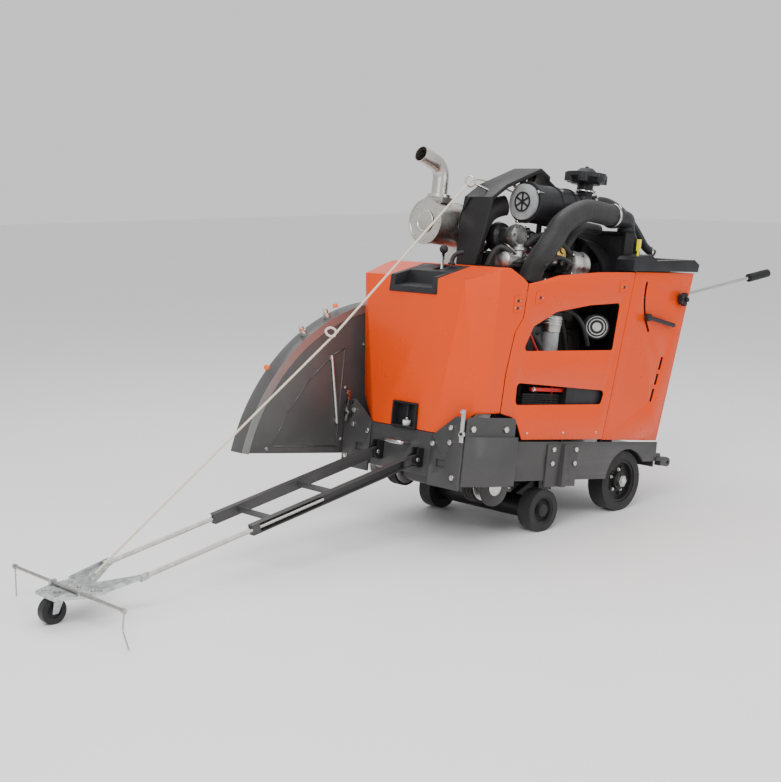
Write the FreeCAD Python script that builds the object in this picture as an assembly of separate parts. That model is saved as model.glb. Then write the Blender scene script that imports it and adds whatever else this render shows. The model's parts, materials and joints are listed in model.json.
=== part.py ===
import FreeCAD, Part
import os
from math import atan2, cos, pi, radians, sin, tan

V = FreeCAD.Vector
X_AXIS = V(1, 0, 0)
Y_AXIS = V(0, 1, 0)
Z_AXIS = V(0, 0, 1)

# Driving dimensions, in millimetres and degrees. The machine is drawn level, with the origin on
# the rear axle, +X to the operator's left, -Y to the front. It is then pitched nose-up as parked.
REAR_WHEEL_R = 127.0
FRONT_WHEEL_R = 85.0
CASTER_R = 44.0
NOSE_UP = 7.58
POINTER_DROP = 10.06
CHASSIS_HALF = 325.0
PLATE = 8.0
SHEET = 3.0
PANEL_HALF = 317.0
DECK_Z = 150.0
RAIL_TOP = 170.0
FRONT_FACE_Y = -1027.0
SWING_PIVOT = (-345.0, -20.0)
FRONT_AXLE = (-501.0, -109.0)
ARBOR = (-790.0, -10.0)
ARBOR_R = 12.7
GEAR_SHAFT = (-850.0, 290.0)
SHEAVE_R = 62.0
GUARD_CENTRE = (-779.0, -107.0)
GUARD_R = 772.0
GUARD_IN = -337.0
GUARD_OUT = -407.0
GUARD_WALL = 4.0
GUARD_BOTTOM = 32.0
HANDLE_PIVOT = (262.0, 793.0)
HANDLE_RISE = 13.0
POINTER_PIVOT = (-1056.0, 74.0)
RUN_GAP = 0.05
LIFT_ARM = 90.0
LATCH_LEFT = 336.0
CLEANER = (100.0, 1112.0)
MUFFLER = (-170.0, 997.0)
TAIL_Y = -780.0
FAN_Z = 800.0
RING = V(-20, -762, 1168)
LATCH_RIGHT = -305.0
LIFT_LEAN = 20.0
LIFT_Z = SWING_PIVOT[1] + 87.3
GUARD_HINGE = (-777.0, GUARD_CENTRE[1] + GUARD_R + 14)
INTAKE_X = 230.0
INTAKE_ROUTE = [V(INTAKE_X, -546, 926), V(INTAKE_X, -478, 1031), V(INTAKE_X, -328, 1109),
                V(INTAKE_X, -148, 1103)]
COOLANT_ROUTE = [V(92, -142, 1168), V(92, -40, 1176), V(92, 60, 1154), V(92, 175, 1096),
                 V(100, 262, 1010), V(104, 322, 990)]
WIRING_ROUTE = [V(122, 16, 1112), V(122, 60, 1105), V(122, 115, 1070), V(122, 165, 1010),
                V(122, 185, 948)]

# The pointer's tip stands level on the ground, so these are measured from the ground.
TIP_Z = 97.0
CASTER_Y = -2520.0
WHEEL_Y = -2540.0
BAR_Y = -2485.0
BAR_Z = TIP_Z + 10
EYE_Y = -2392.0
EYE_Z = 124.0
ROPE_R = 4.5
TAIL_LENGTH = 350.0
ROPE_NODES = ("pointer_rope", "rope_tail")


def box(x0, x1, y0, y1, z0, z1):
    return Part.makeBox(x1 - x0, y1 - y0, z1 - z0, V(x0, y0, z0))


def rod_x(x0, x1, y, z, r):
    return Part.makeCylinder(r, x1 - x0, V(x0, y, z), X_AXIS)


def rod_y(y0, y1, x, z, r):
    return Part.makeCylinder(r, y1 - y0, V(x, y0, z), Y_AXIS)


def rod_z(z0, z1, x, y, r):
    return Part.makeCylinder(r, z1 - z0, V(x, y, z0), Z_AXIS)


def rod_between(p, q, r):
    return Part.makeCylinder(r, (q - p).Length, p, q - p)


def prism(points, thickness):
    return Part.Face(Part.makePolygon(points + [points[0]])).extrude(thickness)


def prism_x(outline, x0, x1):
    return prism([V(x0, y, z) for y, z in outline], V(x1 - x0, 0, 0))


def prism_y(outline, y0, y1):
    return prism([V(x, y0, z) for x, z in outline], V(0, y1 - y0, 0))


def prism_z(outline, z0, z1):
    return prism([V(x, y, z0) for x, y in outline], V(0, 0, z1 - z0))


def ring_x(x0, x1, y, z, r, bore):
    return rod_x(x0, x1, y, z, r).cut(rod_x(x0 - 1, x1 + 1, y, z, bore))


def ring_y(y0, y1, x, z, r, bore):
    return rod_y(y0, y1, x, z, r).cut(rod_y(y0 - 1, y1 + 1, x, z, bore))


def ring_z(z0, z1, x, y, r, bore):
    return rod_z(z0, z1, x, y, r).cut(rod_z(z0 - 1, z1 + 1, x, y, bore))


def mirror(shape):
    return shape.mirror(V(0, 0, 0), X_AXIS)


def both_sides(shapes):
    return shapes + [mirror(s) for s in shapes]


def fused(shapes):
    whole = shapes[0]
    for shape in shapes[1:]:
        whole = whole.fuse(shape)
    return whole.removeSplitter()


def round_corners(outline, radius):
    """A closed list of (y, z) points as a wire of lines and arcs in the plane x = 0."""
    edges = []
    count = len(outline)
    starts = []
    for i in range(count):
        before = V(0, *outline[i - 1])
        here = V(0, *outline[i])
        after = V(0, *outline[(i + 1) % count])
        to_before = (before - here).normalize()
        to_after = (after - here).normalize()
        half = to_before.getAngle(to_after) / 2
        reach = radius / tan(half)
        middle = here + (to_before + to_after).normalize() * (radius / sin(half) - radius)
        starts.append((here + to_before * reach, middle, here + to_after * reach))
    for i in range(count):
        entry, middle, leave = starts[i]
        edges.append(Part.Arc(entry, middle, leave).toShape())
        edges.append(Part.LineSegment(leave, starts[(i + 1) % count][0]).toShape())
    return Part.Wire(edges)


def rounded_prism_x(outline, radius, x0, x1):
    face = Part.Face(round_corners(outline, radius))
    face.translate(V(x0, 0, 0))
    return face.extrude(V(x1 - x0, 0, 0))


def path_wire(points, bend=None):
    """Straight runs joined by tangent arcs. Each arc is as large as its two runs allow."""
    edges = []
    radii = []
    here = points[0]
    for i in range(1, len(points) - 1):
        back = points[i - 1] - points[i]
        ahead = points[i + 1] - points[i]
        turn = pi - back.getAngle(ahead)
        reach = 0.45 * min(back.Length, ahead.Length)
        if bend:
            reach = min(reach, bend * tan(turn / 2))
        radius = reach / tan(turn / 2)
        radii.append(round(radius))
        back.normalize()
        ahead.normalize()
        entry = points[i] + back * reach
        leave = points[i] + ahead * reach
        bulge = radius / cos(turn / 2) - radius
        middle = points[i] + (back + ahead).normalize() * bulge
        edges.append(Part.LineSegment(here, entry).toShape())
        edges.append(Part.Arc(entry, middle, leave).toShape())
        here = leave
    edges.append(Part.LineSegment(here, points[-1]).toShape())
    return Part.Wire(edges), radii


def tube(points, r, bore=0.0, bend=None):
    wire, radii = path_wire(points, bend)
    start = points[1] - points[0]
    shape = wire.makePipeShell([Part.Wire(Part.makeCircle(r, points[0], start))], True, True)
    if bore:
        inner = wire.makePipeShell([Part.Wire(Part.makeCircle(bore, points[0], start))], True, True)
        shape = shape.cut(inner)
    return shape


def bolt_x(x, y, z, r, height):
    """A hexagon head that stands out of a side plate at x."""
    corners = [V(x, y + r * cos(radians(60 * i)), z + r * sin(radians(60 * i))) for i in range(6)]
    return prism(corners, V(height, 0, 0))


def bolt_y(x, y, z, r, height):
    corners = [V(x + r * cos(radians(60 * i)), y, z + r * sin(radians(60 * i))) for i in range(6)]
    return prism(corners, V(0, -height, 0))


# ---- chassis ----

def chassis_frame():
    """Side plates with wheel arches, deck, cross members and the front beam."""
    side = [(200, RAIL_TOP), (FRONT_FACE_Y, RAIL_TOP), (FRONT_FACE_Y, 15), (0, 15), (0, 85), (200, 85)]
    outer = CHASSIS_HALF
    inner = CHASSIS_HALF - PLATE
    plate = prism_x(side, inner, outer)
    plate = plate.cut(rod_x(inner - 1, outer + 1, 0, 0, REAR_WHEEL_R + 12))
    plate = plate.cut(rod_x(inner - 1, outer + 1, *ARBOR, 82))
    deck = box(-inner, inner, -700, 200, DECK_Z - PLATE, DECK_Z)
    back_plate = box(-inner, inner, 192, 200, 60, DECK_Z - PLATE)
    cross = box(-inner, inner, -700, -692, 40, DECK_Z - PLATE)
    beam = [(-inner, 15), (inner, 15), (inner, 258), (285, 262), (175, 182), (-175, 182),
            (-285, 262), (-inner, 258)]
    front = prism_y(beam, FRONT_FACE_Y, FRONT_FACE_Y + PLATE)
    cheek = box(100, 108, FRONT_FACE_Y + PLATE, -700, 60, DECK_Z)
    hanger = fused([box(170, 178, -385, -305, -50, DECK_Z - PLATE), rod_x(170, 178, *SWING_PIVOT, 38)])
    hanger = hanger.cut(rod_x(160, 190, *SWING_PIVOT, 20 + RUN_GAP))
    axle_cheek = box(190, 205, -48, 48, -40, DECK_Z - PLATE)
    axle_cheek = axle_cheek.cut(rod_x(180, 215, 0, 0, 20 + RUN_GAP))
    brackets = both_sides([cheek, hanger, axle_cheek])
    return fused([plate, mirror(plate), deck, back_plate, cross, front] + brackets)


def corner_plates():
    """Bolted plates over both ends of the front beam."""
    outline = [(170, -15), (328, -15), (328, 258), (285, 258), (176, 178), (170, 178)]
    plate = prism_y(outline, FRONT_FACE_Y - PLATE, FRONT_FACE_Y)
    slot = box(206, 250, FRONT_FACE_Y - 2 * PLATE, FRONT_FACE_Y + 1, 60, 90)
    return both_sides([plate.cut(slot)])


def shaft_covers():
    """The left belt cover: a bolted upper flange and a proud lower box."""
    flange = rounded_prism_x([(-1019, 176), (-742, 176), (-742, 262), (-1019, 262)], 18, 325, 331)
    outline = [(-1019, 325), (-1019, 330), (-915, 350), (-742, 350), (-736, 344), (-736, 325)]
    inside = [(-1012, 325), (-1012, 327), (-913, 346), (-744, 346), (-740, 340), (-740, 325)]
    shell = prism([V(x, y, 0) for y, x in outline], V(0, 0, 190))
    hollow = prism([V(x, y, -1) for y, x in inside], V(0, 0, 187))
    cover = fused([flange, shell.cut(hollow)])
    return [cover]


def side_brackets():
    """Lift points: a bolted plate with a bent-out vertical flange on each side rail."""
    plate = prism_x([(-535, -10), (-345, -10), (-345, 161), (-535, 161)], 325, 331)
    flange = prism_x([(-452, -10), (-428, -10), (-428, 161), (-452, 161)], 331, 349)
    tab = prism_x([(-428, 20), (-405, 20), (-405, 60), (-428, 60)], 331, 343)
    return [fused([plate, flange, tab])]


def rear_bumper():
    """A cross bar behind the wheels with round bolted ends."""
    bar = box(-CHASSIS_HALF, CHASSIS_HALF, 200, 232, 88, 120)
    arm = fused([box(298, 330, 232, 282, 66, 104), rod_x(298, 330, 282, 82, 20)])
    arm = arm.cut(rod_x(290, 340, 284, 82, 8))
    return [fused([bar, arm, mirror(arm), box(-330, 330, 200, 232, 88, 104)])]


def chassis_bolts():
    front = [(272, 216), (272, 160), (184, 145), (300, 30)]
    heads = [bolt_y(x, FRONT_FACE_Y - PLATE, z, 11, 8) for x, z in front]
    heads += [bolt_x(331, y, z, 11, 8) for y, z in [(-502, 140), (-362, 140), (-504, 84), (-364, 84)]]
    cover = [bolt_x(331, y, 218, 13, 9) for y in (-985, -800)]
    rear = [bolt_y(x, 240, 104, 11, 8) for x in (120, 260)]
    return heads + [mirror(h) for h in heads[:4]] + cover + both_sides(rear)


def tow_bar():
    """A chrome round-bar handle bent to a U on the middle of the front beam."""
    z = 128.0
    y0 = FRONT_FACE_Y
    points = [V(-45, y0, z), V(-45, y0 - 48, z), V(45, y0 - 48, z), V(45, y0, z)]
    return [tube(points, 8, bend=18)]


def pointer_clevises():
    """Ears on the front beam that carry the pointer's hinge pin."""
    parts = []
    for x in (92, 122):
        ear = box(x, x + 8, FRONT_FACE_Y - 30, FRONT_FACE_Y, 45, 118)
        ear = fused([ear, rod_x(x, x + 8, *POINTER_PIVOT, 22)])
        parts.append(ear.cut(rod_x(x - 1, x + 9, *POINTER_PIVOT, 8 + RUN_GAP)))
    return both_sides(parts)


# ---- orange covers ----

def hood_section(z, inset):
    grow = (z - 287) / 463
    corner_x = 306 - 31 * grow - inset
    corner_y = -960 - 82 * grow + inset
    flat_x = 165 + 107 * (z - 185) / 570 - inset
    flat_y = -1030 - 12 * grow + inset
    back = PANEL_HALF - inset
    right = [V(flat_x, flat_y, z), V(corner_x, corner_y, z), V(back, -900, z), V(back, -600, z)]
    left = [V(-p.x, p.y, z) for p in reversed(right)]
    return Part.makePolygon(right + left + [right[0]])


def hood_side(inset):
    return [(-1100, 150), (-1100, 768 - inset), (-1042, 768 - inset), (-850, 835 - inset),
            (-766, 800 - inset), (-738 + inset, 783 - inset), (-748 + inset, 650),
            (-788 + inset, 590), (-818 + inset, 430), (-827 + inset, 276), (-827 + inset, 150)]


def hood():
    """Faceted front hood, open at the back and below."""
    outer = Part.makeLoft([hood_section(185, 0), hood_section(860, 0)], True, True)
    outer = outer.common(prism_x(hood_side(0), -340, 340))
    inner = Part.makeLoft([hood_section(100, SHEET), hood_section(860, SHEET)], True, True)
    inner = inner.common(prism_x(hood_side(SHEET), -340, 340).fuse(box(-340, 340, -840, -600, 100, 776)))
    shell = outer.cut(inner)
    wedge = prism_y([(172, 150), (400, 150), (400, 340), (306, 272)], -1200, -600)
    shell = shell.cut(wedge).cut(mirror(wedge))
    shell = shell.cut(box(-130, 130, -1100, -866, 706, 900))
    return [shell.cut(box(-55, 80, -1100, -1000, 180, 284))]


def hood_tray():
    """Black tray in the hood's notch, with its dished front and the levers' slot."""
    body = prism_x([(-1046, 707), (-1041, 772), (-868, 828), (-868, 707)], -129, 129)
    dish = prism_x([(-1060, 726), (-1060, 860), (-958, 860), (-973, 746)], -104, 104)
    inside = [(-1034, 700), (-1034, 716), (-970, 734), (-950, 790), (-876, 814), (-876, 700)]
    under = prism_x(inside, -121, 121)
    return [body.cut(dish).cut(under).cut(box(-8, 28, -944, -872, 700, 900))]


def hood_recess():
    """Black pocket low in the hood with a grease cup on a rod."""
    pocket = box(-54, 79, -1040, -1000, 185, 283).cut(box(-48, 73, -1041, -1006, 191, 277))
    return [fused([pocket, rod_z(191, 277, 12, -1018, 5), rod_z(191, 214, 12, -1018, 15)])]


def side_panel():
    """Left sheet panel with two window openings."""
    outline = [(-821, 278), (-752, 264), (-717, 234), (-685, 177), (-180, 180), (-69, 881), (-310, 861),
               (-560, 828), (-671, 796), (-732, 782), (-742, 652), (-782, 592), (-812, 430)]
    upper = [(-727, 522), (-680, 620), (-550, 685), (-345, 725), (-152, 747), (-172, 551)]
    lower = [(-743, 398), (-195, 382), (-213, 325), (-743, 312)]
    panel = rounded_prism_x(outline, 6, PANEL_HALF - SHEET, PANEL_HALF)
    panel = panel.cut(rounded_prism_x(upper, 14, PANEL_HALF - 20, PANEL_HALF + 5))
    return panel.cut(rounded_prism_x(lower, 18, PANEL_HALF - 20, PANEL_HALF + 5))


def console_shell():
    """Sheet box of the operator's console: two sides and a sloping back."""
    outer = [(-177, 178), (200, 175), (346, 911), (-66, 882)]
    hollow = [(-200, 170), (196, 150), (348, 930), (-90, 930)]
    inside = PANEL_HALF - SHEET
    shell = prism_x(outer, -PANEL_HALF, PANEL_HALF).cut(prism_x(hollow, -inside, inside))
    for y, z in [(168, 505), (150, 440), (132, 375)]:
        slot = [(y - 12, z - 32), (y + 4, z - 32), (y + 20, z + 32), (y + 4, z + 32)]
        shell = shell.cut(rounded_prism_x(slot, 4, -340, 340))
    shell = shell.cut(rod_x(-340, 340, *HANDLE_PIVOT, 12))
    ring = ring_x(-340, 340, *HANDLE_PIVOT, 258, 244)
    sector = prism_x([HANDLE_PIVOT, (-40, 860), (-40, 560)], -340, 340)
    for x in (252, -288):
        shell = shell.cut(box(x, x + 36, 290, 360, 760, 862))
    return [shell.cut(ring.common(sector))]


def console_top():
    """Black moulded console top with a raised front block and a sloping face."""
    profile = [(-98, 884), (-98, 930), (-80, 946), (20, 962), (60, 940), (330, 968), (368, 950), (362, 918)]
    top = prism_x(profile, -326, 326)
    pocket = prism_x([(96, 956), (110, 936), (300, 952), (310, 980), (90, 980)], -120, 250)
    top = top.cut(pocket).cut(box(-312, 312, -86, 342, 860, 920))
    for x, y, r in [(-215, 200, 16.4), (-270, 250, 9)]:
        top = top.cut(rod_z(900, 1000, x, y, r))
    top = top.cut(box(-232, 232, -120, 22, 860, 1000))
    cheeks = [box(-90, -76, 30, 60, 930, 974), box(-44, -30, 30, 60, 930, 974)]
    return [fused([top.cut(rod_z(860, 1000, 295, -40, 7))] + cheeks)]


# ---- engine ----

def engine_block():
    """Longitudinal diesel block with flanged sump and flywheel housing."""
    parts = [box(-115, 115, -660, -140, 300, 620), box(-95, 95, -640, -160, 150, 300),
             prism_y([(-150, 250), (150, 250), (150, 560), (90, 620), (-90, 620), (-150, 560)], -700, -660),
             rod_y(-140, -112, 0, 360, 95), box(-135, 135, -660, -140, 292, 306)]
    for i in range(5):
        parts.append(box(115, 128, -630 + 100 * i, -600 + 100 * i, 330, 590))
    parts.append(box(115, 285, -560, -540, 250, 262))
    return [fused(parts)]


def cylinder_head():
    """Head with its rocker cover, intake manifold and exhaust manifold."""
    head = box(-105, 105, -650, -150, 620, 720)
    rocker = box(-70, 70, -630, -170, 720, 800)
    rocker = rocker.makeFillet(14, [edge for edge in rocker.Edges if edge.BoundBox.ZMin > 799])
    intake = box(105, 160, -600, -260, 655, 705)
    exhaust = box(-165, -105, -620, -200, 650, 700)
    cap = rod_z(800, 822, 0, -300, 28)
    ports = [box(105, 112, -600 + 90 * i, -560 + 90 * i, 625, 655) for i in range(5)]
    return [fused([head, rocker, intake, exhaust, cap] + ports)]


def injection_gear():
    """Injection pump, alternator and their brackets on the left of the block."""
    pump = fused([rod_y(-600, -430, 197, 720, 34), box(162, 202, -560, -470, 705, 790)])
    unions = [rod_z(790, 815, 180, -545 + 30 * i, 7) for i in range(3)]
    body = rod_y(-330, -215, 205, 800, 58)
    nose = rod_y(-215, -190, 205, 800, 20)
    alternator = fused([body, nose, box(150, 205, -300, -250, 730, 800)])
    return [fused([pump] + unions), alternator.cut(box(105, 160, -600, -260, 655, 730))]


def radiator():
    """Tall radiator core with cooling fins, standing in front of the console."""
    core = box(-214, 214, -40, 10, 400, 1040)
    fins = [box(-220, 220, -42, 12, 420 + 24 * i, 424 + 24 * i) for i in range(26)]
    frame_bars = [box(x, x + 12, -46, 16, 400, 1050) for x in (-226, 214)]
    bars = [box(-226, 226, -46, 16, 390, 402), box(-226, 226, -46, 16, 1038, 1050)]
    feet = [box(-226, -186, -40, 10, DECK_Z, 392), box(186, 226, -40, 10, DECK_Z, 392)]
    plate = box(-214, 214, -52, -44, 580, 1030).cut(rod_y(-60, -30, 0, FAN_Z, 205))
    shroud = ring_y(-128, -52, 0, FAN_Z, 211, 203)
    lip = ring_y(-132, -124, 0, FAN_Z, 215, 203)
    root = ring_y(-52, -44, 0, FAN_Z, 211, 203)
    return [fused([core] + fins + frame_bars + bars + feet), fused([plate, shroud, lip, root])]


def gearbox():
    """Transmission case between the engine and the belt sheaves."""
    y, z = GEAR_SHAFT
    bell = [(-130, 300), (130, 300), (130, 520), (70, 560), (-70, 560), (-130, 520)]
    case = fused([box(-95, 95, -925, -705, DECK_Z, 470), rod_x(-120, 120, y, z, 70),
                  prism_y(bell, -735, -700)])
    return [case.cut(rod_x(-200, 200, y, z, 26 + RUN_GAP))]


def shift_tower():
    """Post that carries the gear lever up to the hood tray."""
    foot = box(-30, 50, -930, -870, 470, 480)
    post = fused([foot, box(-25, -13, -925, -885, 480, 700), box(33, 45, -925, -885, 480, 700)])
    return [post.cut(rod_x(-40, 60, -905, 690, 5 + RUN_GAP))]


def blade_shaft_housing():
    """Bearing tube of the blade shaft, hung from the cheeks on saddle blocks."""
    y, z = ARBOR
    tube_body = ring_x(-165, 165, y, z, 46, 25 + RUN_GAP)
    blocks = fused([box(x, x + 40, y - 60, y + 60, z, 60) for x in (-150, 110)])
    saddles = [blocks.cut(rod_x(-160, 160, y, z, 46))]
    links = [box(x, x + 40, -830, -750, 40, 60) for x in (-150, 110)]
    uprights = [box(108, 150, -830, -750, 60, 110), box(-150, -108, -830, -750, 60, 110)]
    return [fused([tube_body] + saddles + links + uprights)]


def drive_belts():
    """V-belts around the gearbox sheaves and the blade shaft sheaves."""
    belts = []
    for start in (190, 208, 226, -206, -224, -242):
        belts.append(belt_loop(start, start + 14))
    return belts


def belt_loop(x0, x1):
    high_y, high_z = GEAR_SHAFT
    low_y, low_z = ARBOR
    slope = atan2(high_z - low_z, high_y - low_y)
    across = (-sin(slope), cos(slope))

    def loop(radius):
        points = [(high_y + across[0] * radius, high_z + across[1] * radius),
                  (low_y + across[0] * radius, low_z + across[1] * radius),
                  (low_y - across[0] * radius, low_z - across[1] * radius),
                  (high_y - across[0] * radius, high_z - across[1] * radius)]
        band = prism_x(points, x0, x1)
        return fused([band, rod_x(x0, x1, high_y, high_z, radius), rod_x(x0, x1, low_y, low_z, radius)])
    return loop(SHEAVE_R + 11).cut(loop(SHEAVE_R + 0.5))


def muffler():
    """Round silencer with end rims, a band clamp, an outlet flange and a hanger."""
    x, z = MUFFLER
    can = rod_y(-844, -651, x, z, 88)
    rims = [ring_y(-847, -837, x, z, 92, 86), ring_y(-679, -663, x, z, 93, 86),
            ring_y(-655, -647, x, z, 90, 70)]
    flange = box(x - 50, x + 50, -809, -751, 1076, 1100)
    hanger = box(x - 40, x + 40, -680, -650, 812, 915)
    foot = box(x - 40, -105, -680, -540, 800, 812).fuse(box(-165, -105, -600, -540, 700, 812))
    pipe = tube([V(x, -651, z - 20), V(x, -580, z - 20), V(x, -580, 812)], 26, bend=50)
    points = [V(x, TAIL_Y, 1100), V(x, TAIL_Y, 1224), V(x, TAIL_Y - 124, 1260)]
    outlet = tube(points, 33, 30, bend=60).fuse(ring_z(1100, 1112, x, TAIL_Y, 48, 33))
    return [fused([can] + rims + [flange, hanger, foot, pipe]), outlet.removeSplitter()]


def air_cleaner():
    """Black filter canister on two band brackets."""
    x, z = CLEANER
    can = rod_y(-558, -298, x, z, 80)
    rims = [ring_y(y, y + 15, x, z, 84, 78) for y in (-560, -418, -328)]
    outlet = Part.makeCone(54, 36, 40, V(x, -298, z), Y_AXIS)
    elbow = tube([V(x, -258, z), V(x, -192, z), V(x, -192, z + 66)], 32, bend=34)
    posts = [box(x - 50, x - 34, y, y + 16, 800, 1050) for y in (-418, -328)]
    return [fused([can, outlet, elbow] + rims + posts)]


def air_cleaner_cap():
    """Grey ribbed end cap with a raised ring and six spokes."""
    x, z = CLEANER
    cap = rod_y(-574, -560, x, z, 72)
    cap = cap.fuse(ring_y(-579, -574, x, z, 40, 35))
    for i in range(6):
        spoke = box(x - 3, x + 3, -579, -574, z, z + 38)
        spoke.rotate(V(x, 0, z), Y_AXIS, 60 * i)
        cap = cap.fuse(spoke)
    return [cap.removeSplitter()]


def precleaner():
    """Lobed intake bowl on a short neck."""
    x, y = CLEANER[0], -192
    neck = rod_z(1178, 1228, x, y, 34)
    clamp = ring_z(1192, 1206, x, y, 38, 34)
    bowl = Part.makeCone(60, 84, 30, V(x, y, 1228), Z_AXIS)
    brim = rod_z(1258, 1276, x, y, 84)
    crown = Part.makeCone(50, 26, 20, V(x, y, 1276), Z_AXIS)
    lobes = []
    for i in range(6):
        angle = radians(60 * i)
        lobes.append(rod_z(1236, 1272, x + 72 * cos(angle), y + 72 * sin(angle), 22))
    return [fused([neck, clamp, bowl, brim, crown] + lobes)]


def intake_hose():
    """Ribbed intake hose over the engine."""
    hose = tube(INTAKE_ROUTE, 46)
    cuff = rod_between(V(INTAKE_X, -160, 1103.4), V(INTAKE_X, -128, 1102.3), 50)
    corner = V(204, -18, 1096)
    elbow = fused([rod_between(V(INTAKE_X, -128, 1102), corner, 36), Part.makeSphere(36, corner),
                   rod_z(1050, corner.z, corner.x, corner.y, 36)])
    elbow = elbow.cut(box(100, 300, -100, 60, 1000, 1050))
    foot = rod_between(V(INTAKE_X - 40, -560, 862), V(INTAKE_X, -546, 926), 44)
    return [fused([hose, cuff, elbow, foot])]


def rear_hoses():
    """Coolant and wiring hoses from the engine to the console."""
    return [tube(COOLANT_ROUTE, 19), tube(WIRING_ROUTE, 16)]


def filters():
    """Fuel filter canister and an oil cooler with a ribbed end."""
    bowl = rod_z(500, 640, 235, -480, 34)
    fuel = fused([bowl, rod_z(640, 668, 235, -480, 40), box(130, 235, -495, -465, 640, 654)])
    cooler = rod_between(V(195, -154, 640), V(262, -221, 640), 50)
    return [fuel, cooler]


def battery():
    case = box(180, 300, -420, -170, 262, 412).cut(box(190, 290, -410, -180, 404, 420))
    post = [rod_z(404, 424, 212, y, 9) for y in (-380, -210)]
    tray = box(150, 306, -430, -160, 254, 262)
    leg = [box(290, 306, y, y + 16, DECK_Z, 254) for y in (-430, -176)]
    return [fused([case] + post), fused([tray] + leg)]


def battery_clamp():
    bar = box(225, 250, -446, -148, 426, 440)
    rods = [rod_z(262, 452, 238, y, 5) for y in (-438, -156)]
    return [fused([bar] + rods)]


def lifting_bail():
    """Bent lifting strip from the hood line over the engine to the console, with a lifting eye."""
    spine = [(-768, 838), (-730, 1112), (-648, 1172), (-449, 1262), (-250, 1172), (-160, 1060), (-150, 800)]
    under = [(-166, 800), (-176, 1055), (-260, 1160), (-449, 1245), (-640, 1158), (-716, 1104), (-752, 838)]
    strip = prism_x(spine + under, -75, 75)
    taper = prism_y([(-80, 780), (-80, 1090), (-44, 780)], -900, -600)
    strip = strip.cut(taper).cut(mirror(taper))
    strip = strip.cut(box(50, 80, -390, -100, 700, 1300)).cut(box(-80, -50, -390, -100, 700, 1300))
    eye = prism_x([(-500, 1232), (-449, 1254), (-400, 1232), (-420, 1190), (-480, 1190)], -8, 8)
    eye = eye.cut(rod_x(-20, 20, -450, 1218, 14))
    post = [(-768, 838), (-752, 838), (-716, 790), (-716, 560), (-732, 560), (-732, 785)]
    front_post = prism_x(post, -44, 44)
    rear_foot = box(-50, 50, -166, -150, 720, 800)
    return [fused([strip, eye, front_post, rear_foot])]


def rope_guide():
    """Chrome rod on the bail that ends in a ring for the pointer rope."""
    foot = V(10, -665, 1140)
    towards = (RING - foot).normalize()
    stem = rod_between(foot, RING - towards * 20, 4.5)
    ring = Part.makeTorus(21, 3.5, RING, V(0.5, -1, -0.3))
    return [fused([stem, ring]).cut(lifting_bail()[0])]


def lift_cylinder():
    """Hydraulic cylinder that swings the front axle."""
    barrel = ring_y(-675, -520, -60, LIFT_Z, 30, 20 + RUN_GAP)
    return [fused([barrel, rod_y(-692, -675, -60, LIFT_Z, 30)])]


def side_consoles():
    """Hydraulic pump and hoses block under the console."""
    return [fused([box(-180, -60, 90, 180, DECK_Z, 300), rod_y(30, 90, -120, 240, 40)])]


# ---- guard ----

def guard_section(y0, y1, clear):
    """Part of the blade guard between two stations: two cheeks and a rim, open below."""
    outer = rod_x(GUARD_OUT, GUARD_IN, *GUARD_CENTRE, GUARD_R)
    inner = rod_x(GUARD_OUT + GUARD_WALL, GUARD_IN - GUARD_WALL, *GUARD_CENTRE, GUARD_R - GUARD_WALL)
    keep = box(GUARD_OUT - 1, GUARD_IN + 1, y0, y1, GUARD_BOTTOM, 800)
    shell = outer.cut(inner).common(keep)
    notch = rod_x(GUARD_OUT - 1, GUARD_IN + 1, *ARBOR, clear)
    return shell.cut(notch)


def guard_rear():
    shell = guard_section(-775, 60, 95)
    mount = box(GUARD_IN, -CHASSIS_HALF, -740, -560, 60, 165)
    boss = rod_x(GUARD_IN, -CHASSIS_HALF, -700, 120, 24)
    return [fused([shell, mount, boss])]


def guard_hinge():
    """Fixed knuckles of the guard hinge."""
    y, z = GUARD_HINGE
    knuckles = []
    for x0, x1 in [(-405, -392), (-352, -339)]:
        leaf = fused([rod_x(x0, x1, y, z, 9), box(x0, x1, y, y + 50, z - 15, z - 5)])
        leaf = leaf.cut(rod_x(x0 - 1, x1 + 1, y, z, 5)).cut(rod_x(-500, -300, *GUARD_CENTRE, GUARD_R))
        knuckles.append(leaf)
    return [fused(knuckles + [rod_x(-408, -336, y, z, 5)])]


def guard_front():
    """Swinging front half of the guard with its rim and handle rod."""
    y, z = GUARD_HINGE
    shell = guard_section(-1600, -779, 95)
    knuckle = fused([rod_x(-390, -354, y, z, 9), box(-390, -354, y - 50, y, z - 15, z - 5)])
    knuckle = knuckle.cut(rod_x(-500, -300, *GUARD_CENTRE, GUARD_R))
    knuckle = knuckle.cut(rod_x(-500, -300, y, z, 5 + RUN_GAP))
    return [fused([shell, knuckle])]


def guard_water_line():
    """Water fittings on the rim and the rod down the guard's cheek."""
    rod = rod_between(V(GUARD_IN + 7, -1134, 428), V(GUARD_IN + 7, -1073, 155), 6)
    rod = rod.fuse(box(GUARD_IN, GUARD_IN + 7, -1140, -1122, 410, 425)).fuse(
        box(GUARD_IN, GUARD_IN + 7, -1085, -1070, 160, 175))
    parts = [rod.removeSplitter()]
    for angle in (52, 62):
        reach = GUARD_R - 1
        base = V(-371, GUARD_CENTRE[0] - reach * cos(radians(angle)),
                 GUARD_CENTRE[1] + reach * sin(radians(angle)))
        out = V(0, -cos(radians(angle)), sin(radians(angle)))
        neck = base + out * 20
        fitting = fused([rod_between(base, neck, 16), rod_between(neck, base + out * 38, 11)])
        parts.append(fitting.cut(rod_x(-500, -300, *GUARD_CENTRE, GUARD_R)))
    return parts


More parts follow.
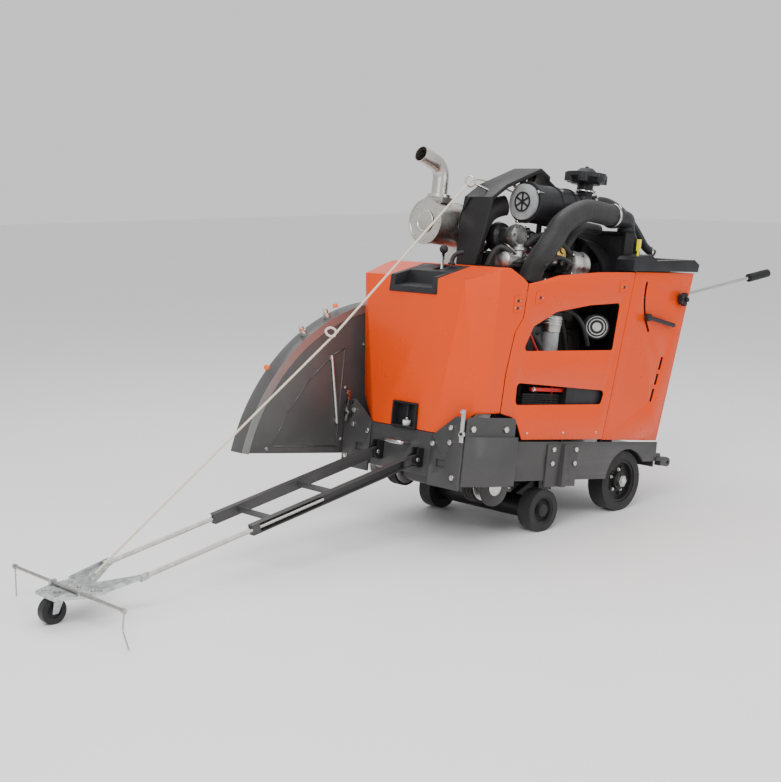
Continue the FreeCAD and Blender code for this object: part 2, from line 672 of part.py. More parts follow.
def latch_lever(x):
    """Chrome latch bar that turns on a pin at its lower end."""
    y = FRONT_FACE_Y - PLATE
    knob = rod_y(y - 25, y - 17, x, 284, 7)
    bar = fused([box(x - 6, x + 6, y - 17, y - 7, 168, 292), knob, rod_y(y - 17, y - 7, x, 200, 13)])
    return bar.cut(rod_y(y - 30, y, x, 200, 5 + RUN_GAP))


def latch_block(x, inward):
    """Black clamp block behind a latch bar, with the bar's pin."""
    y = FRONT_FACE_Y - PLATE
    upper = box(min(x, x - inward * 20), max(x, x - inward * 20), y - 6, y, 240, 255)
    lower = box(min(x, x - inward * 20), max(x, x - inward * 20), y - 6, y, 188, 212)
    return fused([upper, lower, rod_y(y - 20, y, x, 200, 5)])


# ---- wheels ----

def wheel(x0, x1, y, z, r, hub_r, bore):
    """Tyre and dished rim with a bolt circle, seen from the side at x1."""
    tyre = ring_x(x0, x1, y, z, r, hub_r)
    dish = ring_x(x1 - 22, x1, y, z, hub_r * 0.86, hub_r * 0.42)
    rim = ring_x(x0 + 6, x1 - 4, y, z, hub_r, bore).cut(dish)
    rim = rim.cut(ring_x(x0, x0 + 22, y, z, hub_r * 0.86, hub_r * 0.42))
    return tyre, rim


def rear_wheels():
    tyre, rim = wheel(227, 303, 0, 0, REAR_WHEEL_R, 92, 20)
    bolts = [bolt_x(281, 58 * cos(radians(72 * i)), 58 * sin(radians(72 * i)), 8, 9) for i in range(5)]
    rim = fused([rim] + bolts)
    nut = bolt_x(299, 0, 0, 26, 14)
    shaft = rod_x(-299, 299, 0, 0, 20)
    sprocket = ring_x(-60, -48, 0, 0, 60, 20)
    return both_sides([tyre]), both_sides([rim]), [fused([shaft, nut, mirror(nut), sprocket])]


def front_wheel():
    tyre, rim = wheel(248, 312, *FRONT_AXLE, FRONT_WHEEL_R, 58, 15 + RUN_GAP)
    cap = fused([rod_x(308, 313, *FRONT_AXLE, 24), rod_x(313, 315, *FRONT_AXLE, 13)])
    rim = fused([rim, cap.cut(rod_x(300, 309, *FRONT_AXLE, 20))])
    return tyre, rim


def front_axle_arm():
    """Swinging front axle: pivot tube, arms, wheel axle and the lift lever."""
    y0, z0 = SWING_PIVOT
    y1, z1 = FRONT_AXLE
    pivot = rod_x(-178, 178, y0, z0, 20)
    sleeve = ring_x(-168, 168, y0, z0, 34, 20)
    spine = rod_x(-236, 236, y1, z1, 44)
    stub = rod_x(-306, 306, y1, z1, 15)
    side = [(y0 - 20, z0 + 30), (y0 + 20, z0 - 30), (y1 + 10, z1 - 40), (y1 - 14, z1 + 40)]
    arm = prism_x(side, 130, 160)
    lean = radians(LIFT_LEAN)
    tip_y = y0 - LIFT_ARM * sin(lean)
    tip_z = z0 + LIFT_ARM * cos(lean)
    lever = [(y0 - 24, z0 + 8), (y0 + 26, z0 + 8), (tip_y + 16, tip_z + 12), (tip_y - 16, tip_z + 12)]
    ears = []
    for x in (-82, -50):
        ear = prism_x(lever, x, x + 12)
        ears.append(ear.cut(rod_x(x - 1, x + 13, tip_y, tip_z, 11)))
    return [fused([pivot, sleeve, spine, stub, arm, mirror(arm)] + ears)]


def lift_rod():
    """Piston rod with its pin through the axle's lever."""
    tip_y = SWING_PIVOT[0] - LIFT_ARM * sin(radians(LIFT_LEAN))
    piston = rod_y(-610, -590, -60, LIFT_Z, 20)
    rod = rod_y(-590, tip_y - 8, -60, LIFT_Z, 9)
    eye = rod_x(-68, -52, tip_y, LIFT_Z, 12)
    return [fused([piston, rod, eye, rod_x(-84, -36, tip_y, LIFT_Z, 6)])]


def blade_shaft():
    """Blade shaft with sheaves, a flange at each end and the free arbor on the guard side."""
    y, z = ARBOR
    parts = [rod_x(-350, 300, y, z, 25), rod_x(-358, -350, y, z, 60), rod_x(-380, -358, y, z, ARBOR_R),
             rod_x(286, 298, y, z, 76), rod_x(298, 306, y, z, 22)]
    for x0, x1 in [(187, 243), (-245, -189)]:
        parts.append(rod_x(x0, x1, y, z, SHEAVE_R))
    return [fused(parts)]


def drive_sheave():
    y, z = GEAR_SHAFT
    parts = [rod_x(-250, 250, y, z, 26)]
    for x0, x1 in [(187, 243), (-245, -189)]:
        parts.append(rod_x(x0, x1, y, z, SHEAVE_R))
    return [fused(parts)]


def cooling_fan():
    """Six-blade fan on its hub in front of the radiator."""
    hub = rod_y(-112, -76, 0, FAN_Z, 48)
    spindle = rod_y(-136, -112, 0, FAN_Z, 14)
    blades = []
    for i in range(6):
        blade = box(-32, 32, -97, -92, FAN_Z + 50, FAN_Z + 190)
        blade.rotate(V(0, -94, 0), Z_AXIS, 24)
        blade = blade.fuse(box(-12, 12, -100, -88, FAN_Z + 45, FAN_Z + 65))
        blade.rotate(V(0, 0, FAN_Z), Y_AXIS, 60 * i)
        blades.append(blade)
    return [fused([hub, spindle] + blades)]


def fan_bearing():
    """Bracket on the head that carries the fan spindle."""
    hub = ring_y(-148, -118, 0, FAN_Z, 34, 14 + RUN_GAP)
    foot = box(-60, 60, -150, -136, 640, 718)
    web = box(-60, 60, -148, -134, 700, 790).cut(rod_y(-170, -100, 0, FAN_Z, 34))
    return [fused([hub, foot, web])]


# ---- controls ----

def shift_lever():
    """Chrome gear lever with a black ball, on a cross pin."""
    stem = rod_z(600, 872, 10, -905, 6)
    hub = rod_x(-11, 31, -905, 690, 11)
    pin = rod_x(-26, 46, -905, 690, 5)
    ball = Part.makeSphere(17, V(10, -905, 886)).cut(rod_z(600, 872, 10, -905, 6))
    return [fused([stem, hub, pin]), ball]


def handlebar_yoke():
    """Tilting cross tube inside the console with the clamp pins through the sides."""
    y, z = HANDLE_PIVOT
    cross = rod_x(-308, 308, y, z, 16)
    rise = radians(HANDLE_RISE)
    along = V(0, cos(rise), sin(rise))
    centre = V(270, y, z)
    sleeve = rod_between(centre - along * 120, centre + along * 34, 15)
    sleeve = sleeve.cut(rod_between(centre - along * 200, centre + along * 100, 8.5 + RUN_GAP))
    cross = cross.cut(rod_between(centre - along * 200, centre + along * 200, 8.5 + RUN_GAP))
    mirrored = mirror(sleeve)
    cross = cross.cut(rod_between(V(-270, y, z) - along * 200, V(-270, y, z) + along * 200, 8.5 + RUN_GAP))
    stub = rod_x(308, 320, y, z, 10)
    pin_y = 29.0
    pin_z = 700.0
    arm = prism_x([(y, z + 12), (y, z - 14), (pin_y - 8, pin_z - 12), (pin_y - 8, pin_z + 12)], 290, 300)
    pin = rod_x(300, 322, pin_y, pin_z, 5)
    arms = [arm, pin, mirror(arm), rod_x(-322, -300, pin_y, pin_z, 5)]
    return [fused([cross, sleeve, mirrored, stub, mirror(stub)] + arms)]


def handle_tubes():
    y, z = HANDLE_PIVOT
    rise = radians(HANDLE_RISE)
    along = V(0, cos(rise), sin(rise))
    start = V(270, y, z) - along * 110
    end = V(270, y, z) + along * 748
    return both_sides([rod_between(start, end, 8.5)])


def handle_grips():
    y, z = HANDLE_PIVOT
    rise = radians(HANDLE_RISE)
    along = V(0, cos(rise), sin(rise))
    start = V(270, y, z) + along * 606
    end = V(270, y, z) + along * 762
    grip = rod_between(start, end, 19)
    return both_sides([grip.cut(rod_between(start - along * 9, V(270, y, z) + along * 748, 8.5))])


def clamp_lever():
    """Black cranked lever that locks the handlebar tilt."""
    hub = rod_x(324, 342, 29, 700, 16).cut(rod_x(320, 326, 29, 700, 9))
    arm = prism_x([(29, 708), (29, 692), (208, 668), (220, 677), (208, 686)], 332, 342)
    return [fused([hub, arm])]


def clamp_knob():
    """Five-lobed star knob on the handlebar pivot."""
    y, z = HANDLE_PIVOT
    core = rod_x(321, 338, y, z, 22)
    lobes = []
    for i in range(5):
        angle = radians(72 * i)
        lobes.append(rod_x(326, 346, y + 20 * cos(angle), z + 20 * sin(angle), 10))
    return [fused([core] + lobes)]


def stop_button():
    return [fused([rod_z(934, 966, -215, 200, 16), rod_z(966, 980, -215, 200, 22)])]


def throttle_lever():
    """Throttle lever on the console's flat."""
    stem = rod_between(V(-60, 45, 962.0), V(-60, 70, 1010), 5)
    hub = rod_x(-75, -45, 45, 964, 8)
    ball = Part.makeSphere(13, V(-60, 74, 1018))
    return [fused([hub, stem, ball])]


def dipstick():
    """Yellow-handled hydraulic dipstick standing in its tube."""
    stick = rod_z(760, 940, 295, -40, 4)
    tag = box(288, 302, -46, -34, 972, 1020)
    return [fused([stick, tag, rod_z(940, 974, 295, -40, 5)])]


def rope_cleat():
    """Ring on the console front where the pointer rope is tied off."""
    return [fused([rod_z(1050, 1072, -150, -15, 5), Part.makeTorus(11, 4, V(-150, -15, 1082), X_AXIS)])]


# ---- pointer, drawn level and forward of its hinge, then dropped to the ground ----

def channel(x_web, x_edge, u0, u1):
    low = min(x_web, x_edge)
    high = max(x_web, x_edge)
    whole = box(low, high, -u1, -u0, -19, 19)
    return whole.cut(box(x_web + 3, x_edge + 1, -u1 - 1, -u0 + 1, -16, 16))


def pointer_ladder():
    """Two channels with cross members, rod guides and hinge eyes."""
    side = channel(98, 124, 34, 800)
    eye = fused([box(102, 120, -60, 0, -16, 16), rod_x(102, 120, 0, 0, 16)])
    eye = eye.cut(rod_x(100, 122, 0, 0, 8 + RUN_GAP))
    guide = box(101, 121, -798, -765, -16, 16).cut(rod_y(-820, -750, 112, 0, 8.5 + RUN_GAP))
    side = fused([side, eye, guide])
    cross = []
    for u in (395, 680):
        cross += [box(-98, 98, -u - 14, -u + 14, -10, -4), box(-98, 98, -u - 14, -u - 11, -10, 14)]
    return [fused([side, mirror(side)] + cross)]


def hinge_pin(pivot):
    return both_sides([rod_x(88, 134, *pivot, 8)])


def pointer_rods():
    """Chrome rods that slide in the channels, drawn in the pointer's own frame."""
    return both_sides([rod_y(-1262, -470, 112, 0, 8.5)])


def pointer_arms():
    """Tapered sheet arms from the rod ends to the tip plate, in the pointer's own frame."""
    arm = prism_z([(99, -1232), (125, -1232), (104, -1400), (0, -1400), (0, -1366)], -2, 2)
    wall = prism([V(125, -1232, 2), V(122, -1232, 2), V(101, -1400, 2), V(104, -1400, 2)], V(0, 0, 11))
    sleeve = rod_y(-1262, -1232, 112, 0, 12.5)
    arm = fused([arm, wall, sleeve]).cut(rod_y(-1262, -1200, 112, 0, 8.5))
    return both_sides([arm])


def tip_plate():
    """Level tip plate with folded skirts, the bar collars, the rope eye and the caster bearing."""
    outline = [(-104, -2404), (-100, -2478), (-58, -2566), (58, -2566), (100, -2478), (104, -2404)]
    plate = prism_z(outline, TIP_Z, TIP_Z + 3)
    inner = [(-97, -2404), (-97, -2477), (-56, -2563), (56, -2563), (97, -2477), (97, -2404)]
    skirt = prism_z(outline, TIP_Z - 7, TIP_Z).cut(prism_z(inner, TIP_Z - 8, TIP_Z + 1))
    bearing = rod_z(TIP_Z - 4, TIP_Z + 3, 0, CASTER_Y, 26)
    collars = [box(x - 7, x + 7, BAR_Y - 12, BAR_Y + 12, TIP_Z + 3, TIP_Z + 19) for x in (-86, 86)]
    eye = Part.makeTorus(10, 3.5, V(0, EYE_Y, EYE_Z), X_AXIS)
    post = rod_z(TIP_Z, EYE_Z - 8, 0, EYE_Y, 4)
    bolts = []
    places = [(-70, -2430), (70, -2430), (-40, -2545), (40, -2545), (0, -2440), (-30, -2478), (30, -2478)]
    for x, y in places:
        bolts.append(rod_z(TIP_Z + 3, TIP_Z + 8, x, y, 6.5))
    whole = fused([plate, skirt, bearing, eye, post] + collars + bolts)
    whole = whole.cut(rod_x(-120, 120, BAR_Y, BAR_Z, 6 + RUN_GAP))
    return whole.cut(rod_z(0, 150, 0, CASTER_Y, 7 + RUN_GAP))


def caster_fork():
    """Swivelling fork on its king pin."""
    crown = rod_z(TIP_Z - 8, TIP_Z - 4.3, 0, CASTER_Y, 24)
    pin = rod_z(TIP_Z - 6, TIP_Z + 8, 0, CASTER_Y, 7)
    head = rod_z(TIP_Z + 3.4, TIP_Z + 9, 0, CASTER_Y, 12)
    cheek = prism_x([(CASTER_Y + 18, TIP_Z - 5), (CASTER_Y - 22, TIP_Z - 5), (WHEEL_Y - 10, CASTER_R - 8),
                     (WHEEL_Y + 10, CASTER_R - 8)], 19, 22)
    axle = rod_x(-25, 25, WHEEL_Y, CASTER_R, 5)
    return [fused([crown, pin, head, cheek, mirror(cheek), axle])]


def caster_wheel():
    tyre = ring_x(-15, 15, WHEEL_Y, CASTER_R, CASTER_R, 29)
    rim = ring_x(-16, 16, WHEEL_Y, CASTER_R, 29, 5 + RUN_GAP)
    dish = ring_x(10, 16, WHEEL_Y, CASTER_R, 25, 13)
    return [tyre, rim.cut(dish).cut(mirror(dish))]


def sight_bar():
    """Cross bar with the pointing needle at one end and a wire whisker at the other."""
    bar = rod_x(-341, 341, BAR_Y, BAR_Z, 6)
    clip = rod_x(-340, -328, BAR_Y, BAR_Z, 9)
    needle = rod_z(5, BAR_Z, -334, BAR_Y, 2.5)
    whisker = tube([V(336, BAR_Y, BAR_Z), V(372, BAR_Y - 30, 60), V(404, BAR_Y - 30, 8)], 2.5, bend=20)
    return [fused([bar, clip, needle, whisker, rod_x(328, 340, BAR_Y, BAR_Z, 9)])]


# ---- placing ----

def pitched(shape):
    placed = shape.copy()
    placed.rotate(V(0, 0, 0), X_AXIS, -NOSE_UP)
    placed.translate(V(0, 0, REAR_WHEEL_R))
    return placed


def world_point(x, y, z):
    angle = radians(NOSE_UP)
    return V(x, y * cos(angle) + z * sin(angle), REAR_WHEEL_R - y * sin(angle) + z * cos(angle))


def dropped(shape, pivot):
    placed = shape.copy()
    placed.rotate(V(0, 0, 0), X_AXIS, POINTER_DROP)
    placed.translate(pivot)
    return placed


PIVOT_WORLD = world_point(0, *POINTER_PIVOT)
ROPE_KNOT = V(0, -1338, 834)
ROPE_EYE = V(0, EYE_Y, EYE_Z)
ROPE_FOOT = ROPE_EYE + (ROPE_KNOT - ROPE_EYE).normalize() * 14
ROPE_TOP = [world_point(-20, -762, 1172), world_point(-92, -640, 1196), world_point(-104, -470, 1180),
            world_point(-126, -300, 1150), world_point(-144, -150, 1112), world_point(-150, -30, 1090)]


def pointer_rope():
    """The tight rope from the tip, through the ring on the bail, to its cleat."""
    way = (ROPE_KNOT - ROPE_FOOT).normalize()
    joint = ROPE_FOOT + way * TAIL_LENGTH
    main, radii = path_wire([joint, ROPE_KNOT] + ROPE_TOP)
    print("rope arcs", radii, "length", round(main.Length + TAIL_LENGTH))
    rope = main.makePipeShell([Part.Wire(Part.makeCircle(ROPE_R, joint, way))], True, True)
    return [rope], [rod_between(ROPE_FOOT, joint, ROPE_R)]


def build():
    """Every sub-part by name, in its parked place."""
    level = {}
    level["chassis_frame"] = [chassis_frame()]
    level["bolted_plates"] = corner_plates() + side_brackets() + rear_bumper() + shaft_covers()
    level["chassis_bolts"] = chassis_bolts() + hinge_pin(POINTER_PIVOT)
    level["tow_bar"] = tow_bar()
    latches = [latch_block(LATCH_LEFT, 1), latch_block(LATCH_RIGHT, -1)]
    level["front_brackets"] = pointer_clevises() + latches
    level["hood"] = hood()
    level["hood_tray"] = hood_tray() + hood_recess()
    panel = side_panel()
    level["side_panel_left"] = [panel]
    level["side_panel_right"] = [mirror(panel)]
    level["console_shell"] = console_shell()
    level["console_top"] = console_top()
    level["engine_block"] = engine_block()
    level["cylinder_head"] = cylinder_head() + fan_bearing()
    level["fuel_system"] = injection_gear() + filters()
    level["radiator"] = radiator()
    level["gearbox"] = gearbox() + shift_tower()
    level["blade_shaft_housing"] = blade_shaft_housing()
    level["drive_belts"] = drive_belts()
    level["muffler"] = muffler()
    level["air_cleaner"] = air_cleaner() + air_cleaner_cap() + precleaner()
    level["intake_hose"] = intake_hose()
    level["rear_hoses"] = rear_hoses()
    level["battery"] = battery()
    level["battery_clamp"] = battery_clamp()
    level["lifting_bail"] = lifting_bail()
    level["rope_guide"] = rope_guide() + rope_cleat()
    level["hydraulics"] = lift_cylinder() + side_consoles()
    level["guard_rear"] = guard_rear() + guard_hinge()
    level["guard_front"] = guard_front()
    level["guard_water_line"] = guard_water_line()
    level["latch_lever_left"] = [latch_lever(LATCH_LEFT)]
    level["latch_lever_right"] = [latch_lever(LATCH_RIGHT)]
    level["rear_tyres"], level["rear_rims"], level["rear_axle_shaft"] = rear_wheels()
    level["front_axle_arm"] = front_axle_arm()
    tyre, rim = front_wheel()
    level["front_wheel_left"] = [tyre, rim]
    level["front_wheel_right"] = [mirror(tyre), mirror(rim)]
    level["lift_rod"] = lift_rod()
    level["blade_shaft"] = blade_shaft()
    level["drive_sheave"] = drive_sheave()
    level["cooling_fan"] = cooling_fan()
    level["shift_lever"] = shift_lever()
    level["handlebar_yoke"] = handlebar_yoke()
    level["handle_tubes"] = handle_tubes()
    level["handle_grips"] = handle_grips()
    level["clamp_lever"] = clamp_lever()
    level["clamp_knob_left"] = clamp_knob()
    level["clamp_knob_right"] = [mirror(knob) for knob in clamp_knob()]
    level["stop_button"] = stop_button()
    level["throttle_lever"] = throttle_lever()
    level["dipstick"] = dipstick()
    nodes = {name: [pitched(shape) for shape in shapes] for name, shapes in level.items()}
    nodes["pointer_ladder"] = [dropped(s, PIVOT_WORLD) for s in pointer_ladder()]
    nodes["pointer_rods"] = [dropped(s, PIVOT_WORLD) for s in pointer_rods()]
    arms = [dropped(s, PIVOT_WORLD) for s in pointer_arms()]
    nodes["pointer_tip"] = [fused([tip_plate()] + arms)]
    nodes["caster_fork"] = caster_fork()
    nodes["caster_wheel"] = caster_wheel()
    nodes["sight_bar"] = sight_bar()
    nodes["pointer_rope"], nodes["rope_tail"] = pointer_rope()
    return nodes


def origin_shift(nodes):
    """From the drawing origin to the bottom centre of the machine without its rope."""
    machine = [shapes for name, shapes in nodes.items() if name not in ROPE_NODES]
    everything = Part.makeCompound([shape for shapes in machine for shape in shapes])
    bounds = everything.optimalBoundingBox(False)
    return V(-(bounds.XMin + bounds.XMax) / 2, -(bounds.YMin + bounds.YMax) / 2, -bounds.ZMin)


def export(nodes, shift):
    os.makedirs("parts", exist_ok=True)
    for name, shapes in nodes.items():
        solids = [solid for shape in shapes for solid in shape.Solids]
        for solid in solids:
            solid.translate(shift)
        placed = Part.makeCompound(solids) if len(solids) > 1 else solids[0]
        placed.exportStep("parts/" + name + ".step")


NODES = build()
ORIGIN_SHIFT = origin_shift(NODES)
export(NODES, ORIGIN_SHIFT)
print(len(NODES), "nodes, shift", ORIGIN_SHIFT)
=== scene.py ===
import json
import random
from math import cos, hypot, pi, radians, sin

import bmesh
import bpy
from mathutils import Matrix, Vector


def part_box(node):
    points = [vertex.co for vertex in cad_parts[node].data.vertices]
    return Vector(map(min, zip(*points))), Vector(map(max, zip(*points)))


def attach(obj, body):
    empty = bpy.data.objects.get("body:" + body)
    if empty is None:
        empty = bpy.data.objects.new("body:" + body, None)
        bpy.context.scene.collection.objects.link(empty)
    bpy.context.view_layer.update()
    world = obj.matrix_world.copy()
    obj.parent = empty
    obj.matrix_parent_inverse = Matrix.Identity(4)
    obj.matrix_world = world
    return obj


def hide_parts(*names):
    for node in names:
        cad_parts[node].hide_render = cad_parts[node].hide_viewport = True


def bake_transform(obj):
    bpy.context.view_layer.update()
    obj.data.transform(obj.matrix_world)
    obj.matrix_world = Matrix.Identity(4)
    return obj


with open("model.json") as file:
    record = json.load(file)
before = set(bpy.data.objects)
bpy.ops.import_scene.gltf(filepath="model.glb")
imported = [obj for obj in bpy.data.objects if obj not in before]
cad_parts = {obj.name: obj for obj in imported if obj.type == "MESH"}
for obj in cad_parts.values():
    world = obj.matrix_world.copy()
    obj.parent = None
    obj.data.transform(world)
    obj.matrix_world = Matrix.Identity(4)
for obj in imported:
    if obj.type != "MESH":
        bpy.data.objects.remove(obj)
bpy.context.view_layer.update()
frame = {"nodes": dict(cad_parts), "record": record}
rng = random.Random(5)

# ---- placing: the machine is drawn level about its rear axle, then pitched nose-up as parked ----

AXLE = Vector([(a + b) / 2 for a, b in zip(*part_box("rear_tyres"))])
NOSE_UP = radians(7.58)


def place(x, y, z):
    """A point of the level machine, in millimetres from the rear axle, in the frame's metres."""
    y, z = y / 1000, z / 1000
    return Vector((AXLE.x + x / 1000, AXLE.y + y * cos(NOSE_UP) + z * sin(NOSE_UP),
                   AXLE.z - y * sin(NOSE_UP) + z * cos(NOSE_UP)))


def ground(x, y, z):
    """A point of the parked drawing, in millimetres, in the frame's metres."""
    return Vector((x / 1000 + AXLE.x, y / 1000 + AXLE.y, z / 1000))


LEVEL = Matrix.Translation(AXLE) @ Matrix.Rotation(-NOSE_UP, 4, "X") @ Matrix.Scale(0.001, 4)
TO_LEVEL = LEVEL.inverted()
PARKED = Matrix.Translation((AXLE.x, AXLE.y, 0)) @ Matrix.Scale(0.001, 4)

# ---- places shared by the pieces below: the level machine's millimetres, x to its left, y back, z up ----

CHEEK_X = 317                      # outer face of the orange sheets
LEFT, BACK, FRONT, UP = (1, 0, 0), (0, 1, 0), (0, -1, 0), (0, 0, 1)
GUARD_CENTRE = (-779, -107)        # y and z of the blade guard's arc
GUARD_FACE_X = -337                # the guard cheek that faces the machine
GUARD_LINE_X = -371                # the guard's rim line, where its water fittings stand
MUFFLER_AXIS = (-170, 997)         # x and z
MUFFLER_FACE_Y = -844
CLEANER_AXIS = (100, 1112)         # x and z
INTAKE_X = 230
FILTER_AXIS = (235, -480)          # x and y of the fuel filter
ALTERNATOR_AXIS = (196, 884)       # x and z
TURBO_AXIS = (1, 0, 0.1)           # direction


# ---- camera and light ----

CAMERA_AZIMUTH = radians(46.74)
CAMERA_ELEVATION = radians(8.92)
CAMERA_PLACE = (3.9062 + AXLE.x, -4.7332 + AXLE.y, 1.434)
FLOOR_REACH = 30


def set_camera():
    """The main view, from the front and to the machine's left."""
    across = cos(CAMERA_ELEVATION)
    back = Vector((sin(CAMERA_AZIMUTH) * across, -cos(CAMERA_AZIMUTH) * across, sin(CAMERA_ELEVATION)))
    data = bpy.data.cameras.new("camera")
    data.lens = 65.08
    data.sensor_fit = "VERTICAL"
    data.sensor_height = 36.0
    data.clip_end = 60
    camera = bpy.data.objects.new("camera", data)
    camera.location = CAMERA_PLACE
    camera.rotation_euler = (-back).to_track_quat("-Z", "Y").to_euler()
    bpy.context.collection.objects.link(camera)
    bpy.context.scene.camera = camera


def area_light(name, position, target, size, power):
    """A soft lamp in metres and watts, turned to its target."""
    data = bpy.data.lights.new(name, "AREA")
    data.shape = "RECTANGLE"
    data.size, data.size_y = size
    data.energy = power
    light = bpy.data.objects.new(name, data)
    light.location = position
    light.rotation_euler = (Vector(target) - Vector(position)).to_track_quat("-Z", "Y").to_euler()
    bpy.context.collection.objects.link(light)


def set_stage():
    """White surroundings, three soft lamps and a pale floor."""
    world = bpy.data.worlds.new("studio")
    world.use_nodes = True
    background = world.node_tree.nodes["Background"]
    background.inputs["Color"].default_value = (1, 1, 1, 1)
    background.inputs["Strength"].default_value = 0.9
    bpy.context.scene.world = world
    area_light("key", (2.5, -4.0, 4.5), (0, 0.3, 0.5), (3, 3), 260)
    area_light("top", (-1.0, 0.5, 4.5), (0, 0, 0.5), (4, 4), 130)
    area_light("side", (5.0, 1.5, 2.6), (0, 0.4, 0.6), (2, 3), 70)
    mesh = bpy.data.meshes.new("floor")
    corners = [(x * FLOOR_REACH, y * FLOOR_REACH, 0) for x, y in ((-1, -1), (1, -1), (1, 1), (-1, 1))]
    mesh.from_pydata(corners, [], [(0, 1, 2, 3)])
    floor = bpy.data.objects.new("floor", mesh)
    bpy.context.collection.objects.link(floor)
    floor.data.materials.append(floor_material())


# ---- materials ----

class Shader:
    """A new node material with short helpers for its noise, ramps and bump."""

    def __init__(self, name):
        self.material = bpy.data.materials.new(name)
        self.material.use_nodes = True
        self.nodes = self.material.node_tree.nodes
        self.links = self.material.node_tree.links
        self.base = self.nodes["Principled BSDF"]
        self.coordinates = self.nodes.new("ShaderNodeTexCoord")

    def noise(self, scale, detail=4.0, stretch=(1, 1, 1)):
        """A noise value laid in the object's own coordinates."""
        mapping = self.nodes.new("ShaderNodeMapping")
        mapping.inputs["Scale"].default_value = stretch
        node = self.nodes.new("ShaderNodeTexNoise")
        node.inputs["Scale"].default_value = scale
        node.inputs["Detail"].default_value = detail
        node.inputs["Roughness"].default_value = 0.6
        self.links.new(self.coordinates.outputs["Object"], mapping.inputs["Vector"])
        self.links.new(mapping.outputs["Vector"], node.inputs["Vector"])
        return node.outputs["Fac"]

    def ramp(self, source, stops):
        """Colours between the stops, read by the source."""
        node = self.nodes.new("ShaderNodeValToRGB")
        while len(node.color_ramp.elements) < len(stops):
            node.color_ramp.elements.new(0.5)
        for element, (at, colour) in zip(node.color_ramp.elements, stops):
            element.position = at
            element.color = (*colour, 1)
        self.links.new(source, node.inputs["Fac"])
        return node.outputs["Color"]

    def span(self, source, low, high):
        """Stretches the middle of a noise to a range of values."""
        node = self.nodes.new("ShaderNodeMapRange")
        for key, value in zip(("From Min", "From Max", "To Min", "To Max"), (0.3, 0.7, low, high)):
            node.inputs[key].default_value = value
        self.links.new(source, node.inputs["Value"])
        return node.outputs["Result"]

    def bump(self, source, strength, distance):
        """Raises the surface by a height value."""
        node = self.nodes.new("ShaderNodeBump")
        node.inputs["Strength"].default_value = strength
        node.inputs["Distance"].default_value = distance
        self.links.new(source, node.inputs["Height"])
        self.links.new(node.outputs["Normal"], self.base.inputs["Normal"])

    def colour(self, output):
        self.links.new(output, self.base.inputs["Base Color"])

    def rough(self, output):
        self.links.new(output, self.base.inputs["Roughness"])

    def set(self, **values):
        """Sets inputs of the surface shader by name, with underscores for spaces."""
        for name, value in values.items():
            self.base.inputs[name.replace("_", " ")].default_value = value
        return self


def shades(colour, low, high):
    """Two stops of one colour, darker and lighter."""
    return [(0.3, tuple(c * low for c in colour)), (0.7, tuple(min(c * high, 1) for c in colour))]


def paint(name, colour, roughness=0.3, metallic=0.0, coat=0.0, spread=0.06, grain=0.05):
    """Sprayed paint: faint tone drift, fine bumps and patches of more and less gloss."""
    shader = Shader(name)
    shader.set(Metallic=metallic, Specular_IOR_Level=0.22, Coat_Weight=coat, Coat_Roughness=0.12)
    shader.colour(shader.ramp(shader.noise(5), shades(colour, 1 - spread, 1 + spread)))
    shader.rough(shader.span(shader.noise(9, 6), roughness * 0.85, roughness * 1.2))
    shader.bump(shader.noise(260, 2), grain, 0.0006)
    return shader.material


def metal(name, colour, roughness, spread=0.08, scale=40, stretch=(1, 1, 1)):
    """Bare or plated metal with fine drawn marks and cloudy reflections."""
    shader = Shader(name).set(Metallic=1.0)
    shader.colour(shader.ramp(shader.noise(scale * 0.4, 5), shades(colour, 1 - spread, 1 + spread)))
    shader.rough(shader.span(shader.noise(scale, 5, stretch), roughness * 0.7, roughness * 1.35))
    shader.bump(shader.noise(scale * 8, 2, stretch), 0.06, 0.0004)
    return shader.material


def moulded(name, colour, roughness, scale=500, depth=0.2, sheen=0.0):
    """Moulded plastic or rubber with a fine surface grain and rubbed patches."""
    shader = Shader(name).set(Sheen_Weight=sheen, Specular_IOR_Level=0.25)
    shader.colour(shader.ramp(shader.noise(12, 5), shades(colour, 0.75, 1.35)))
    shader.rough(shader.span(shader.noise(16, 5), roughness * 0.8, roughness * 1.15))
    shader.bump(shader.noise(scale, 2), depth, 0.0008)
    return shader.material


def galvanised():
    """Zinc spangle: patches of slightly different grey and gloss."""
    shader = Shader("galvanised").set(Metallic=0.9)
    cells = shader.nodes.new("ShaderNodeTexVoronoi")
    cells.inputs["Scale"].default_value = 70
    shader.links.new(shader.coordinates.outputs["Object"], cells.inputs["Vector"])
    stops = [(0.2, (0.36, 0.375, 0.38)), (0.8, (0.55, 0.56, 0.56))]
    shader.colour(shader.ramp(cells.outputs["Color"], stops))
    shader.rough(shader.span(shader.noise(30, 5), 0.28, 0.5))
    shader.bump(shader.noise(120, 3), 0.08, 0.0006)
    return shader.material


def stainless():
    """Silencer steel, browner where it has been hot."""
    shader = Shader("stainless").set(Metallic=1.0)
    stops = [(0.3, (0.50, 0.48, 0.45)), (0.52, (0.62, 0.60, 0.57)), (0.72, (0.44, 0.40, 0.36))]
    shader.colour(shader.ramp(shader.noise(6, 3), stops))
    shader.rough(shader.span(shader.noise(60, 5, (1, 8, 1)), 0.24, 0.4))
    shader.bump(shader.noise(240, 2), 0.05, 0.0005)
    return shader.material


def iron_paint():
    """Black engine enamel over rough castings, with oily and dusty patches."""
    shader = Shader("engine_enamel").set(Coat_Weight=0.15)
    stops = [(0.35, (0.012, 0.012, 0.013)), (0.6, (0.03, 0.03, 0.032)), (0.75, (0.07, 0.066, 0.062))]
    shader.colour(shader.ramp(shader.noise(14, 6), stops))
    shader.rough(shader.span(shader.noise(22, 5), 0.28, 0.62))
    shader.bump(shader.noise(180, 4), 0.35, 0.0012)
    return shader.material


